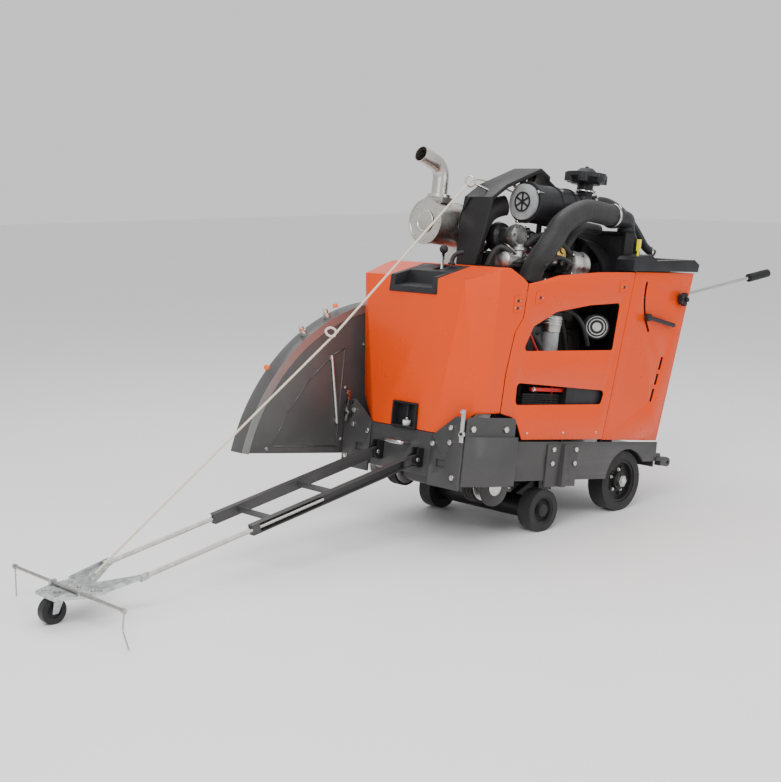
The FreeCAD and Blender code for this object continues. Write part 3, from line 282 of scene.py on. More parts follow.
def rope_fibre():
    """Cream fibre with darker threads."""
    shader = Shader("rope_fibre").set(Sheen_Weight=0.3)
    shader.colour(shader.ramp(shader.noise(300, 4), [(0.3, (0.5, 0.42, 0.3)), (0.7, (0.83, 0.77, 0.63))]))
    shader.rough(shader.span(shader.noise(80), 0.75, 0.95))
    shader.bump(shader.noise(900, 2), 0.4, 0.0008)
    return shader.material


def floor_material():
    """A pale, even studio floor."""
    shader = Shader("studio_floor")
    shader.colour(shader.ramp(shader.noise(0.8), [(0.3, (0.86, 0.86, 0.86)), (0.7, (0.88, 0.88, 0.88))]))
    shader.rough(shader.span(shader.noise(3), 0.5, 0.6))
    return shader.material


MATERIALS = {
    "dark_paint": paint("dark_grey_paint", (0.055, 0.054, 0.055), 0.38, 0.15, 0.1, 0.12, 0.08),
    "black_paint": paint("black_paint", (0.012, 0.012, 0.013), 0.42, 0.0, 0.05, 0.2, 0.1),
    "zinc": metal("zinc_plate", (0.6, 0.59, 0.56), 0.32),
    "chrome": metal("chrome", (0.56, 0.56, 0.55), 0.16, 0.1, 60),
    "orange_paint": paint("orange_paint", (0.7, 0.055, 0.0), 0.3, 0.0, 0.08, 0.02, 0.0),
    "black_plastic": moulded("black_plastic", (0.016, 0.016, 0.018), 0.42),
    "engine_iron": iron_paint(),
    "aluminium": metal("cast_aluminium", (0.5, 0.5, 0.49), 0.42, 0.2, 90),
    "belt_rubber": moulded("belt_rubber", (0.018, 0.018, 0.018), 0.75),
    "stainless": stainless(),
    "hose_rubber": moulded("hose_rubber", (0.022, 0.022, 0.023), 0.5, 240, 0.25, 0.1),
    "red_plastic": moulded("red_plastic", (0.62, 0.02, 0.015), 0.35),
    "guard_paint": paint("guard_grey", (0.085, 0.082, 0.082), 0.36, 0.35, 0.1, 0.12, 0.06),
    "tyre_rubber": moulded("tyre_rubber", (0.016, 0.016, 0.017), 0.7, 160, 0.5, 0.1),
    "grip_rubber": moulded("grip_rubber", (0.014, 0.014, 0.015), 0.62, 350, 0.4),
    "yellow_plastic": moulded("yellow_plastic", (0.9, 0.66, 0.0), 0.35),
    "galvanised": galvanised(),
    "rope_fibre": rope_fibre(),
}
EXTRA = {
    "cap_grey": moulded("cap_grey", (0.27, 0.28, 0.28), 0.5, 300, 0.3),
    "copper": metal("copper_pipe", (0.6, 0.3, 0.16), 0.3),
    "steel": metal("machined_steel", (0.42, 0.41, 0.4), 0.3, 0.15, 90),
    "brass": metal("brass", (0.65, 0.42, 0.12), 0.28),
    "orange_plastic": moulded("orange_plastic", (0.85, 0.12, 0.01), 0.4),
    "rim_band": paint("rim_band", (0.32, 0.33, 0.33), 0.3, 0.7, 0.1, 0.08),
    "black_gloss": paint("black_gloss", (0.012, 0.012, 0.013), 0.22, 0.0, 0.3, 0.2, 0.1),
    "red_wire": moulded("red_wire", (0.4, 0.02, 0.02), 0.4),
    "white_plastic": moulded("white_plastic", (0.7, 0.69, 0.66), 0.4),
}


# ---- pieces ----

SLOTS = {item["node"]: item["material_slot"] for item in frame["record"]["subparts"]}
BODY = {node: body for body, nodes in frame["record"]["behaviour"]["bodies"].items() for node in nodes}
FINISHES = {**MATERIALS, **EXTRA}
OTHER_FINISH = {"clamp_knob_left": "black_plastic", "clamp_knob_right": "black_plastic",
                "radiator": "black_paint", "pointer_rods": "steel", "sight_bar": "steel",
                "rear_axle_shaft": "steel"}
SMOOTH_ANGLE = 28
WELD = 0.00005


def finish_of(node):
    """The node's own finish, or its slot's."""
    return FINISHES[OTHER_FINISH.get(node, SLOTS[node])]


def dress_nodes():
    """Every CAD node gets its slot's procedural material."""
    for node, obj in frame["nodes"].items():
        obj.data.materials.clear()
        obj.data.materials.append(finish_of(node))


def bevelled(obj, width, segments=2, limit=SMOOTH_ANGLE, weighted=False):
    """Rounds the edges: all the sharp ones, or only the ones with a weight."""
    modifier = obj.modifiers.new("edges", "BEVEL")
    modifier.width = width / 1000
    modifier.segments = segments
    modifier.limit_method = "WEIGHT" if weighted else "ANGLE"
    modifier.angle_limit = radians(limit)
    modifier.use_clamp_overlap = not weighted
    modifier.harden_normals = True


def mark_creases(bm, least=0.0045):
    """Gives a bevel weight to the long folds between two faces wider than least."""
    layer = bm.edges.layers.float.new("bevel_weight_edge")
    for edge in bm.edges:
        length = edge.calc_length()
        if len(edge.link_faces) == 2 and length > 0.03:
            wide = all(face.calc_area() / length > least for face in edge.link_faces)
            if wide and 0.1 < edge.calc_face_angle(0) < 1.35:
                edge[layer] = 1.0


def refine(node, bevel=1.5, segments=2, by_face=None, crease=0.0):
    """Replaces a CAD node by its own mesh with welded faces and rounded edges.

    by_face(centre) names another material for a face from its centre in level millimetres."""
    mesh = frame["nodes"][node].data.copy()
    bm = bmesh.new()
    bm.from_mesh(mesh)
    bmesh.ops.remove_doubles(bm, verts=bm.verts, dist=WELD)
    bmesh.ops.dissolve_limit(bm, angle_limit=radians(0.6), verts=bm.verts, edges=bm.edges)
    slots = [finish_of(node)]
    for face in bm.faces:
        material = by_face(TO_LEVEL @ face.calc_center_median()) if by_face else None
        if material and material not in slots:
            slots.append(material)
        face.material_index = slots.index(material) if material else 0
    if crease:
        mark_creases(bm)
    mesh.materials.clear()
    for material in slots:
        mesh.materials.append(material)
    bm.to_mesh(mesh)
    bm.free()
    obj = bpy.data.objects.new(node + "_shaped", mesh)
    bpy.context.collection.objects.link(obj)
    mesh.shade_smooth()
    if crease:
        mesh.set_sharp_from_angle(angle=radians(SMOOTH_ANGLE))
        bevelled(obj, crease, 4, weighted=True)
    else:
        bevelled(obj, bevel, segments)
    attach(obj, BODY[node])
    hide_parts(node)


def frames(line):
    """Each point of a line with two directions across it, carried along without twisting."""
    tangent = (line[1] - line[0]).normalized()
    side = tangent.orthogonal().normalized()
    out = []
    for i, point in enumerate(line):
        before, after = line[max(i - 1, 0)], line[min(i + 1, len(line) - 1)]
        ahead = (after - before).normalized()
        side = (tangent.rotation_difference(ahead) @ side).normalized()
        tangent = ahead
        out.append((point, side, tangent.cross(side)))
    return out


def turns(count, first=0.0):
    """Angles of a full turn, evenly spaced."""
    return [first + 2 * pi * k / count for k in range(count)]


def around(count, radius, first=0.0):
    """Offsets of evenly spaced places on a circle."""
    return [(radius * cos(a), radius * sin(a)) for a in turns(count, first)]


def skin(bm, hoops, sides, material, smooth=True):
    """Closed skin over hoops, each given by its centre, two directions across it and its radius."""
    rings = [[bm.verts.new(centre + (u * cos(a) + v * sin(a)) * r) for a in turns(sides)]
             for centre, u, v, r in hoops]
    faces = [bm.faces.new([a[k], a[(k + 1) % sides], b[(k + 1) % sides], b[k]])
             for a, b in zip(rings, rings[1:]) for k in range(sides)]
    faces.append(bm.faces.new(list(reversed(rings[0]))))
    faces.append(bm.faces.new(rings[-1]))
    for face in faces:
        face.material_index = material
        face.smooth = smooth


def sweep(bm, line, radii, sides=12, material=0):
    """A round skin along a line, with one radius for each point."""
    skin(bm, [(*hoop, r) for hoop, r in zip(frames(line), radii)], sides, material)


def even(line, step):
    """The same line with points an equal step apart, as near the asked one as fits."""
    total = sum((b - a).length for a, b in zip(line, line[1:]))
    count = max(2, round(total / step))
    out = [line[0]]
    done, i = 0.0, 0
    for k in range(1, count):
        want = total * k / count
        while done + (line[i + 1] - line[i]).length < want:
            done += (line[i + 1] - line[i]).length
            i += 1
        run = line[i + 1] - line[i]
        out.append(line[i] + run * ((want - done) / run.length))
    return out + [line[-1]]


def spline_line(points, step):
    """Points read from a NURBS spline through the route."""
    curve = bpy.data.curves.new("route", "CURVE")
    curve.dimensions = "3D"
    curve.resolution_u = 24
    spline = curve.splines.new("NURBS")
    spline.points.add(len(points) - 1)
    for target, point in zip(spline.points, points):
        target.co = (*point, 1)
    spline.order_u = 3
    spline.use_endpoint_u = True
    holder = bpy.data.objects.new("route", curve)
    bpy.context.collection.objects.link(holder)
    bpy.context.view_layer.update()
    mesh = bpy.data.meshes.new_from_object(holder)
    line = [v.co.copy() for v in mesh.vertices]
    bpy.data.objects.remove(holder)
    bpy.data.meshes.remove(mesh)
    return even(line, step)


class Draft:
    """Gathers drawn shapes in the level machine's millimetres and makes one piece of them."""

    def __init__(self):
        self.bm = bmesh.new()
        self.slots = []

    def index(self, material):
        """The material's place in this piece's list, added when new."""
        if material not in self.slots:
            self.slots.append(material)
        return self.slots.index(material)

    def block(self, x0, x1, y0, y1, z0, z1, material):
        """A box between its limits."""
        made = bmesh.ops.create_cube(self.bm, size=1.0)["verts"]
        limits = ((x0, x1), (y0, y1), (z0, z1))
        for vert in made:
            vert.co = [(low + high) / 2 + c * (high - low) for c, (low, high) in zip(vert.co, limits)]
        for face in {f for vert in made for f in vert.link_faces}:
            face.material_index = self.index(material)

    def slab(self, outline, axis, low, high, material):
        """A flat plate: an outline in the other two axes, between two stations on this one."""
        def point(a, b, at):
            return {"x": (at, a, b), "y": (a, at, b), "z": (a, b, at)}[axis]

        ends = [[self.bm.verts.new(point(a, b, at)) for a, b in outline] for at in (low, high)]
        faces = [self.bm.faces.new(ends[0]), self.bm.faces.new(list(reversed(ends[1])))]
        for i in range(len(outline)):
            j = (i + 1) % len(outline)
            faces.append(self.bm.faces.new([ends[0][j], ends[0][i], ends[1][i], ends[1][j]]))
        for face in faces:
            face.material_index = self.index(material)

    def lathe(self, origin, axis, profile, material, steps=24, smooth=True):
        """A turned shape: (distance along the axis, radius) pairs."""
        axis = Vector(axis).normalized()
        u = axis.orthogonal().normalized()
        v = axis.cross(u)
        hoops = [(Vector(origin) + axis * along, u, v, radius) for along, radius in profile]
        skin(self.bm, hoops, steps, self.index(material), smooth)

    def bolt(self, origin, axis, r, material):
        """A washer and a hexagon head with a domed top."""
        self.lathe(origin, axis, [(0, r * 1.25), (r * 0.22, r * 1.25)], material, 20, False)
        head = Vector(origin) + Vector(axis).normalized() * r * 0.22
        self.lathe(head, axis, [(0, r), (r * 0.6, r), (r * 0.72, r * 0.82)], material, 6, False)

    def hose(self, points, r, material, sides=10, step=8, ribs=0.0, pitch=3):
        """A bent hose, pipe or wire, with ribs of that height on every pitch-th ring."""
        line = spline_line([Vector(p) for p in points], step)
        radii = [r + (ribs if i % pitch == 0 else 0.0) for i in range(len(line))]
        sweep(self.bm, line, radii, sides, self.index(material))

    def clip(self, origin, axis, r, material, width=12):
        """A worm-drive clamp: a band and its screw housing."""
        half = width / 2
        self.lathe(origin, axis, [(-half, r), (-half, r + 2), (half, r + 2), (half, r)], material, 32)
        across = Vector(axis).normalized().orthogonal().normalized()
        screw = Vector(origin) + across * (r + 5)
        self.lathe(screw, across.cross(Vector(axis)), [(-9, 4.5), (9, 4.5)], material, 10)

    def done(self, name, body, slot, bevel=0.8, replaces=(), placed=LEVEL):
        """Places the drawn shapes as one piece that rides on a body."""
        mesh = bpy.data.meshes.new(name)
        bmesh.ops.recalc_face_normals(self.bm, faces=self.bm.faces)
        self.bm.transform(placed)
        self.bm.to_mesh(mesh)
        self.bm.free()
        for material in self.slots:
            mesh.materials.append(material)
        obj = bpy.data.objects.new(name, mesh)
        bpy.context.collection.objects.link(obj)
        if bevel:
            bevelled(obj, bevel, 2, 40)
        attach(obj, body)
        if replaces:
            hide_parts(*replaces)


# ---- rope ----

ROPE_RADIUS = 0.0045
ROPE_STEP = 0.0045                 # spacing of the points along the rope
STRAND_PITCH = 0.036               # one turn of the strands
TAIL_LENGTH = 0.350                # the first stretch, which moves with the pointer's slider
BEND_REACH = 0.054                 # distance of the extra points from the knot and the ring
ROPE_EYE = ground(0, -2392, 124)
ROPE_KNOT = ground(0, -1338, 834)
ROPE_RING = place(-20, -762, 1172)


def make_rope():
    """Cream three-strand rope from the tip's eye, over its knot and the ring, to the cleat."""
    way = (ROPE_KNOT - ROPE_EYE).normalized()
    foot = ROPE_EYE + way * 0.014
    joint = foot + way * TAIL_LENGTH
    top = [place(-92, -640, 1196), place(-104, -470, 1180), place(-126, -300, 1150),
           place(-144, -150, 1112), place(-150, -30, 1090)]
    rise = (ROPE_RING - ROPE_KNOT).normalized()
    route = [joint, ROPE_KNOT - way * BEND_REACH, ROPE_KNOT, ROPE_KNOT + rise * BEND_REACH,
             ROPE_RING - rise * BEND_REACH, ROPE_RING] + top
    line = spline_line(route, ROPE_STEP)
    rope = strands("rope_strands", line)
    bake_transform(rope)
    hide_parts("pointer_rope")
    twist = strands("rope_knot", spline_line(knot_route(way), ROPE_STEP))
    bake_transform(twist)
    tail_line = spline_line([foot, foot + way * (TAIL_LENGTH / 2), joint], ROPE_STEP)
    tail = strands("rope_tail_strands", tail_line)
    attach(tail, "pointer_slider")
    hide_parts("rope_tail")


def knot_route(way):
    """The overhand loop's points: (along the rope, across it, over it) from the knot, in metres."""
    across = Vector((1, 0, 0))
    over = across.cross(way).normalized()
    steps = [(-0.020, 0, 0), (-0.008, 0.010, 0), (0.012, 0.004, 0.012), (0.004, -0.014, 0.030),
             (-0.024, -0.012, 0.034), (-0.034, 0.006, 0.022), (-0.020, 0.012, 0.004), (0.004, -0.010, -0.006),
             (0.020, 0, 0)]
    return [ROPE_KNOT + way * a + across * b + over * c for a, b, c in steps]


def strands(name, line):
    """Three strands laid around the line."""
    bm = bmesh.new()
    step = (line[1] - line[0]).length
    for k in range(3):
        path = []
        for i, (point, u, v) in enumerate(frames(line)):
            angle = 2 * pi * (i * step / STRAND_PITCH + k / 3)
            path.append(point + (u * cos(angle) + v * sin(angle)) * (ROPE_RADIUS * 0.47))
        sweep(bm, path, [ROPE_RADIUS * 0.53] * len(path), 6)
    mesh = bpy.data.meshes.new(name)
    bm.to_mesh(mesh)
    bm.free()
    mesh.materials.append(MATERIALS["rope_fibre"])
    obj = bpy.data.objects.new(name, mesh)
    bpy.context.collection.objects.link(obj)
    return obj


set_camera()
make_rope()
dress_nodes()
set_stage()

# ---- the sheet metal, castings and tubes keep their CAD shape, with rounded edges ----

GREY, STEEL, BRASS, COPPER = EXTRA["cap_grey"], EXTRA["steel"], EXTRA["brass"], EXTRA["copper"]
BLACK, ZINC, CHROME = MATERIALS["black_plastic"], MATERIALS["zinc"], MATERIALS["chrome"]
IRON, ALUMINIUM, RUBBER = MATERIALS["engine_iron"], MATERIALS["aluminium"], MATERIALS["hose_rubber"]
ORANGE, STAINLESS, GLOSS = MATERIALS["orange_paint"], MATERIALS["stainless"], EXTRA["black_gloss"]
RED_WIRE = EXTRA["red_wire"]


def cap_colours(centre):
    """Grey for the air cleaner's end cap, but not for the spokes raised on it."""
    return GREY if -574.5 <= centre.y <= -560.5 and centre.z <= 1195 else None


def ball_top(centre):
    """Black for the gear lever's ball."""
    return BLACK if centre.z > 868 else None


def shaft_flange(centre):
    """Gloss black for the blade shaft's flange on the left."""
    return GLOSS if 285 < centre.x < 298.2 else None


refine("hood", crease=11)
for name in ("side_panel_left", "side_panel_right"):
    refine(name, 0.9)
refine("console_shell", 1.0)
refine("console_top", 6.0, 3)
refine("hood_tray", 4.0, 3)
for name in ("chassis_frame", "bolted_plates", "front_brackets", "guard_front", "guard_rear"):
    refine(name)
refine("lifting_bail", 2.0)
refine("air_cleaner", 2.0, 3, by_face=cap_colours)
refine("pointer_ladder", 1.2)
refine("pointer_tip", 1.2)
refine("blade_shaft", by_face=shaft_flange)
refine("shift_lever", 0.8, by_face=ball_top)
for name in ("clamp_lever", "clamp_knob_left", "clamp_knob_right", "tow_bar", "latch_lever_left",
             "latch_lever_right", "handlebar_yoke", "chassis_bolts", "front_axle_arm", "rear_rims"):
    refine(name, 1.2)
for name in ("engine_block", "cylinder_head", "gearbox", "fuel_system"):
    refine(name, 3.0)


# ---- engine: what shows between the hood, the bail and the radiator ----

def make_engine_top():
    """Rocker cover with its ribs, injection pump, rails, turbocharger, filters and the lifting plate."""
    d = Draft()
    d.block(-100, 108, -650, -180, 801, 842, IRON)
    for i in range(7):
        y = -640 + 70 * i
        d.block(-108, 116, y, y + 14, 806, 850, IRON)
        d.bolt((92, y + 28, 842), UP, 7, STEEL)
    d.lathe((60, -640, 868), BACK,
            [(0, 20), (4, 27), (60, 27), (64, 34), (74, 34), (78, 27), (210, 27), (216, 20)], ALUMINIUM)
    d.lathe((128, -690, 872), BACK,
            [(0, 18), (8, 30), (28, 30), (34, 24), (120, 24), (126, 33), (140, 33), (148, 22)], ALUMINIUM)
    d.lathe((128, -596, 872), UP, [(0, 20), (40, 20), (44, 29), (54, 29), (58, 17), (66, 17)], ALUMINIUM)
    for i in range(4):
        d.bolt((128, -676 + 36 * i, 897), UP, 6, STEEL)
    d.lathe((165, -470, 908), BACK, [(0, 24), (10, 40), (26, 44), (44, 36), (60, 22), (80, 22)], STEEL)
    d.lathe((165, -440, 908), (1, 0, 0.4), [(0, 24), (38, 24), (42, 30), (52, 30), (56, 12), (64, 12)], BRASS)
    d.lathe((165, -430, 930), UP, [(0, 22), (24, 22), (28, 28), (38, 28)], ALUMINIUM)
    d.block(-64, 60, -636, -300, 842, 905, IRON)
    d.lathe((-50, -560, 962), TURBO_AXIS,
            [(0, 30), (6, 58), (30, 66), (52, 58), (60, 40), (96, 34), (100, 24)], IRON, 36)
    d.lathe((46, -560, 972), TURBO_AXIS, [(0, 26), (6, 44), (26, 50), (46, 44), (50, 20)], ALUMINIUM, 36)
    d.lathe((8, -430, 900), UP, [(0, 40), (8, 46), (96, 46), (104, 38), (112, 16), (120, 14)], IRON, 36)
    d.lathe((70, -340, 850), UP, [(0, 30), (4, 36), (110, 36), (118, 30), (122, 14)], BLACK, 32)
    d.lathe((-60, -480, 905), UP, [(0, 34), (70, 34), (78, 26), (84, 10)], IRON, 30)
    d.slab([(-640, 900), (-600, 900), (-590, 1010), (-616, 1046), (-640, 1030)], "x", -74, -68, IRON)
    for y, z in ((-628, 920), (-610, 990), (-622, 1022)):
        d.bolt((-68, y, z), LEFT, 7, STEEL)
    for y, z in around(6, 40):
        d.bolt((97, -560 + y, 977 + z), TURBO_AXIS, 5, STEEL)
    d.done("engine_top", "chassis", "aluminium", 1.2)


def make_alternator():
    """Two cast halves with windings between them, a pulley, bolts and a foot."""
    d = Draft()
    x, z = ALTERNATOR_AXIS
    d.lathe((x, -372, z), BACK, [(0, 16), (0, 38), (6, 50), (30, 55), (34, 55)], ALUMINIUM, 36)
    d.lathe((x, -338, z), BACK, [(0, 52), (26, 52)], STEEL, 36)
    d.lathe((x, -312, z), BACK, [(0, 55), (22, 55), (34, 44), (36, 20)], ALUMINIUM, 36)
    d.lathe((x, -402, z), BACK, [(0, 14), (2, 30), (8, 34), (12, 27), (16, 34), (22, 30), (24, 14)], IRON, 30)
    for i, (dx, dz) in enumerate(around(12, 46)):
        material = COPPER if i % 3 == 0 else BLACK
        d.block(x + dx - 4, x + dx + 4, -362, -346, z + dz - 4, z + dz + 4, material)
    d.bolt((x, -402, z), FRONT, 9, STEEL)
    for dz in (38, -38):
        d.bolt((x + 30, -376, z + dz), FRONT, 6, STEEL)
    d.slab([(-340, 800), (-300, 800), (-310, 845), (-332, 845)], "x", x - 6, x + 6, IRON)
    d.done("alternator", "chassis", "aluminium", 0.8)


def make_fuel_lines():
    """Four injectors, each with its steel pipe to the pump, and the leak-off hose."""
    d = Draft()
    for i in range(4):
        y = -610 + 74 * i
        outlet = -560 + 26 * i
        d.lathe((30, y, 842), UP, [(0, 11), (30, 11), (34, 15), (46, 15), (50, 8), (62, 8)], STEEL, 12, False)
        d.hose([(30, y, 900), (34, y - 6, 930), (80, y - 30, 940), (120, y - 36, 925), (160, outlet, 860)],
               3.2, STEEL, 8, 6)
        d.lathe((160, outlet, 850), UP, [(0, 8), (14, 8)], BRASS, 6, False)
    d.hose([(40, -600, 893), (60, -540, 880), (54, -470, 890), (50, -400, 882), (46, -330, 890)],
           5, RUBBER, 8, 6)
    d.done("fuel_lines", "chassis", "aluminium", 0)


def make_engine_hoses():
    """Air, coolant, oil and breather hoses over the engine."""
    d = Draft()
    d.hose([(-6, -560, 1096), (-30, -612, 1082), (-48, -650, 1020), (-58, -664, 940), (-60, -670, 850)],
           41, RUBBER, 28, 5, 1.2, 3)
    d.clip((-58, -666, 900), (0, 0.1, 1), 42, CHROME)
    d.hose([(165, -390, 905), (152, -335, 975), (126, -250, 1035), (100, -160, 1056), (84, -56, 1052)],
           22, RUBBER, 18, 6)
    d.clip((160, -372, 922), (-0.3, 1, 0.75), 23, CHROME, 9)
    routes = {13: [(128, -560, 938), (150, -520, 985), (180, -470, 990), (196, -420, 960), (198, -372, 930)],
              15: [(-90, -600, 842), (-100, -580, 920), (-60, -520, 950), (0, -500, 930), (30, -470, 880)],
              11: [(60, -700, 842), (70, -690, 900), (96, -660, 930), (128, -640, 900)],
              9: [(236, -560, 862), (240, -520, 900), (232, -440, 905), (214, -360, 880)],
              12: [(10, -250, 842), (40, -230, 900), (100, -230, 930), (170, -250, 900), (200, -290, 870)]}
    for radius, points in routes.items():
        d.hose(points, radius, RUBBER, 14 if radius > 12 else 12, 6)
    d.done("engine_hoses", "chassis", "hose_rubber", 0)


def make_wiring():
    """Loose wires between points on the engine, and the breather pipe by the muffler."""
    d = Draft()
    hooks = [(150, -660, 860), (110, -600, 905), (60, -560, 895), (130, -500, 900), (180, -450, 940),
             (60, -420, 890), (190, -380, 935), (100, -330, 900), (150, -260, 880), (60, -200, 900)]
    for i in range(11):
        a, b = Vector(rng.choice(hooks)), Vector(rng.choice(hooks))
        if (a - b).length < 60:
            b = b + Vector((40, 90, 10))
        lift = Vector((rng.uniform(-20, 30), rng.uniform(-20, 20), rng.uniform(15, 55)))
        thickness = 3.4 if i % 2 else 2.4
        material = RED_WIRE if i in (3, 8) else BLACK
        d.hose([a, a.lerp(b, 0.25) + lift, a.lerp(b, 0.6) + lift * 0.6, b], thickness, material, 8, 7)
    d.hose([(-40, -735, 1110), (-70, -740, 1060), (-90, -735, 1000), (-70, -730, 930), (-80, -725, 850)],
           4, BLACK, 8, 8)
    d.done("wiring", "chassis", "belt_rubber", 0)


def make_intake_hose():
    """The ribbed intake hose with its clamps, its moulded elbow and its foot."""
    d = Draft()
    x = INTAKE_X
    d.hose([(172, -566, 800), (180, -564, 850), (204, -556, 892), (224, -540, 935), (x, -512, 978),
            (x, -480, 1030), (x, -420, 1072), (x, -330, 1110), (x, -240, 1108), (x, -148, 1103)],
           44.6, RUBBER, 40, 3, 1.6, 3)
    d.lathe((x, -170, 1103), BACK, [(0, 47), (4, 49.5), (36, 49.5), (42, 42)], BLACK, 40)
    d.clip((x, -158, 1103), BACK, 49.6, CHROME)
    d.hose([(x, -134, 1102), (x - 2, -86, 1102), (x - 8, -48, 1100), (206, -22, 1090), (204, -18, 1051)],
           35.5, BLACK, 30, 4)
    d.lathe((204, -18, 1051), UP, [(0, 38), (12, 38), (16, 35.5)], BLACK, 30)
    d.done("intake_hose_ribbed", "chassis", "hose_rubber", 0, replaces=["intake_hose"])


def make_rear_hoses():
    """Two smooth hoses over the radiator, with their clamps."""
    d = Draft()
    d.hose([(92, -142, 1168), (92, -90, 1172), (92, -20, 1176), (92, 60, 1156), (92, 120, 1128),
            (93, 175, 1092), (97, 225, 1048), (101, 270, 1002), (104, 322, 990)], 18.6, RUBBER, 20, 5)
    x = 122
    d.hose([(x, 16, 1112), (x, 60, 1105), (x, 112, 1076), (x, 150, 1035), (x, 175, 992), (x, 185, 948)],
           15.6, RUBBER, 18, 5)
    for origin, axis in (((92, -118, 1170), (0, 1, 0.1)), ((103, 300, 992), (0, 1, -0.3))):
        d.clip(origin, axis, 19, CHROME, 10)
    d.done("rear_hoses_smooth", "chassis", "hose_rubber", 0, replaces=["rear_hoses"])


def make_muffler_fittings():
    """Pressed ring and rivets on the muffler's end, its bracket, flange bolts and drain."""
    d = Draft()
    x, z = MUFFLER_AXIS
    d.lathe((x, MUFFLER_FACE_Y - 3.5, z), FRONT, [(0, 46), (2.2, 44), (2.2, 40), (0.4, 38)],
            STAINLESS, 40, False)
    for dx, dz in around(8, 76):
        d.bolt((x + dx, MUFFLER_FACE_Y, z + dz), FRONT, 3.5, STEEL)
    d.bolt((x + 92, -671, z + 8), (0.2, 0, 1), 7, STEEL)
    d.slab([(-690, 1050), (-650, 1050), (-640, 1120), (-668, 1136), (-690, 1110)], "x", -112, -108, COPPER)
    for height in (1112, 1070):
        d.bolt((-108, -668, height), LEFT, 7, STEEL)
    for dx, y in ((-38, -798), (38, -798), (-38, -762), (38, -762)):
        d.bolt((x + dx, y, 1100), UP, 6, ZINC)
    d.hose([(-110, -700, 930), (-90, -720, 900), (-100, -700, 860), (-120, -680, 842)], 9, RUBBER, 12, 6)
    d.done("muffler_fittings", "chassis", "zinc", 0.4)


def make_cleaner_fittings():
    """Spring catches round the air cleaner's cap, its bolts and the pre-cleaner's clamp and nut."""
    d = Draft()
    x, z = CLEANER_AXIS
    for a in (0.5, 2.3, 4.4):
        u, w = cos(a), sin(a)
        d.hose([(x + r * u, y, z + r * w) for r, y in ((83, -566), (88, -552), (82, -532))], 2.6, STEEL, 8, 3)
        d.lathe((x + 83 * u, -566, z + 83 * w), FRONT, [(0, 7), (6, 7)], STEEL, 10)
    for y in (-410, -320):
        d.bolt((x + 60, y, z + 62), (0.7, 0, 0.7), 6, STEEL)
    d.clip((x, -192, 1200), UP, 38.2, CHROME)
    d.bolt((x, -192, 1296), UP, 8, BLACK)
    d.done("cleaner_fittings", "chassis", "black_plastic", 0)


# ---- covers: latch patches, rivets, recess, what shows in the windows, and vents ----

def make_panel_hardware(name, body, side, patches, rivets):
    """Latch patches with black plates painted as the shade in their square holes, and the sill's rivets, on
    one sheet.
    """
    d = Draft()
    face = CHEEK_X * side
    out = (side, 0, 0)

    def plate(points, thick, material):
        d.slab(points, "x", *sorted((face, face + side * thick)), material)

    for y, z, w, h, lean, hole_shades in patches:
        plate([(y - w, z - h), (y + w, z - h + lean), (y + w, z + h + lean), (y - w, z + h)], 3.0, ORANGE)
        # each black plate is painted shade standing in for the dark inside of a square hole in the patch
        for at in [z + dz for dz in hole_shades]:
            plate([(y - 6, at - 5), (y + 6, at - 4), (y + 6, at + 7), (y - 6, at + 6)], 3.4, BLACK)
            for dy in (-15, 15):
                d.bolt((face + side * 3.0, y + dy, at + 2), out, 2.4, STEEL)
    for y, z in rivets:
        d.lathe((face, y, z), out, [(0, 5), (1.6, 4.6), (2.8, 2.8)], ZINC, 14)
    d.done(name, body, "zinc", 1.0)


def make_recess():
    """The grease cup in the hood's low pocket, and the second small lever in its tray."""
    d = Draft()
    d.lathe((12, -1018, 191.3), UP, [(0, 15.5), (20, 15.8), (22, 13), (23, 6.2)], EXTRA["white_plastic"], 24)
    d.lathe((12, -1018, 213), UP, [(0, 6.4), (8, 6.4), (10, 5.4)], ZINC, 16)
    d.lathe((60, -905, 828), UP, [(0, 16), (8, 13), (10, 9), (22, 8)], BLACK, 20)
    d.hose([(60, -905, 845), (62, -900, 862), (70, -890, 874), (92, -876, 880)], 8.5, BLACK, 14, 4)
    d.done("recess_cup", "chassis", "black_plastic", 0)


def make_filters():
    """Behind the left windows: fuel filter, the cooler's ringed end, pipes and the battery's clamp bar."""
    d = Draft()
    x, y = FILTER_AXIS
    d.lathe((x, y, 498), UP, [(0, 20), (4, 30), (20, 34.6), (104, 34.6)], GREY, 36)
    d.lathe((x, y, 602), UP, [(0, 35), (2, 38), (30, 41), (66, 41), (68, 30)], STEEL, 36)
    for i in range(3):
        d.lathe((x, y, 634 + 11 * i), UP, [(0, 41), (2, 42.4), (5, 42.4), (7, 41)], ALUMINIUM, 36)
    way = Vector((1, -1, 0)).normalized()
    end = Vector((262, -221, 640)) - way
    d.lathe(end, way, [(0, 50.5), (6, 50.5), (6, 46), (2, 45)], BLACK, 40)
    d.lathe(end, way,
            [(1, 44), (3, 44), (3, 41), (1, 40), (1, 34), (3, 33), (3, 29), (1, 28), (1, 20), (3, 18)],
            ALUMINIUM, 40)
    d.hose([(235, -470, 650), (200, -420, 690), (180, -360, 660), (170, -300, 560), (150, -260, 470)],
           11, RUBBER, 14, 8)
    d.hose([(150, -620, 560), (220, -600, 600), (250, -560, 560), (240, -520, 480), (180, -500, 430)],
           13, RUBBER, 14, 8)
    d.hose([(230, -640, 640), (250, -600, 560), (262, -560, 500), (250, -500, 450)], 6, RED_WIRE, 10, 8)
    d.block(268, 280, -612, -392, 366, 380, MATERIALS["red_plastic"])
    for station in (-600, -404):
        d.bolt((280, station, 373), LEFT, 7, ZINC)
    for i in range(5):
        z = 350 - 9 * i
        d.hose([(258, -640, z), (264, -500, z + 2), (262, -360, z), (250, -230, z + 4)], 3.6, RUBBER, 8, 12)
    d.hose([(120, -380, 690), (200, -330, 700), (250, -290, 650), (240, -240, 560)], 8, RUBBER, 12, 8)
    d.done("filters_detail", "chassis", "aluminium", 0.5)


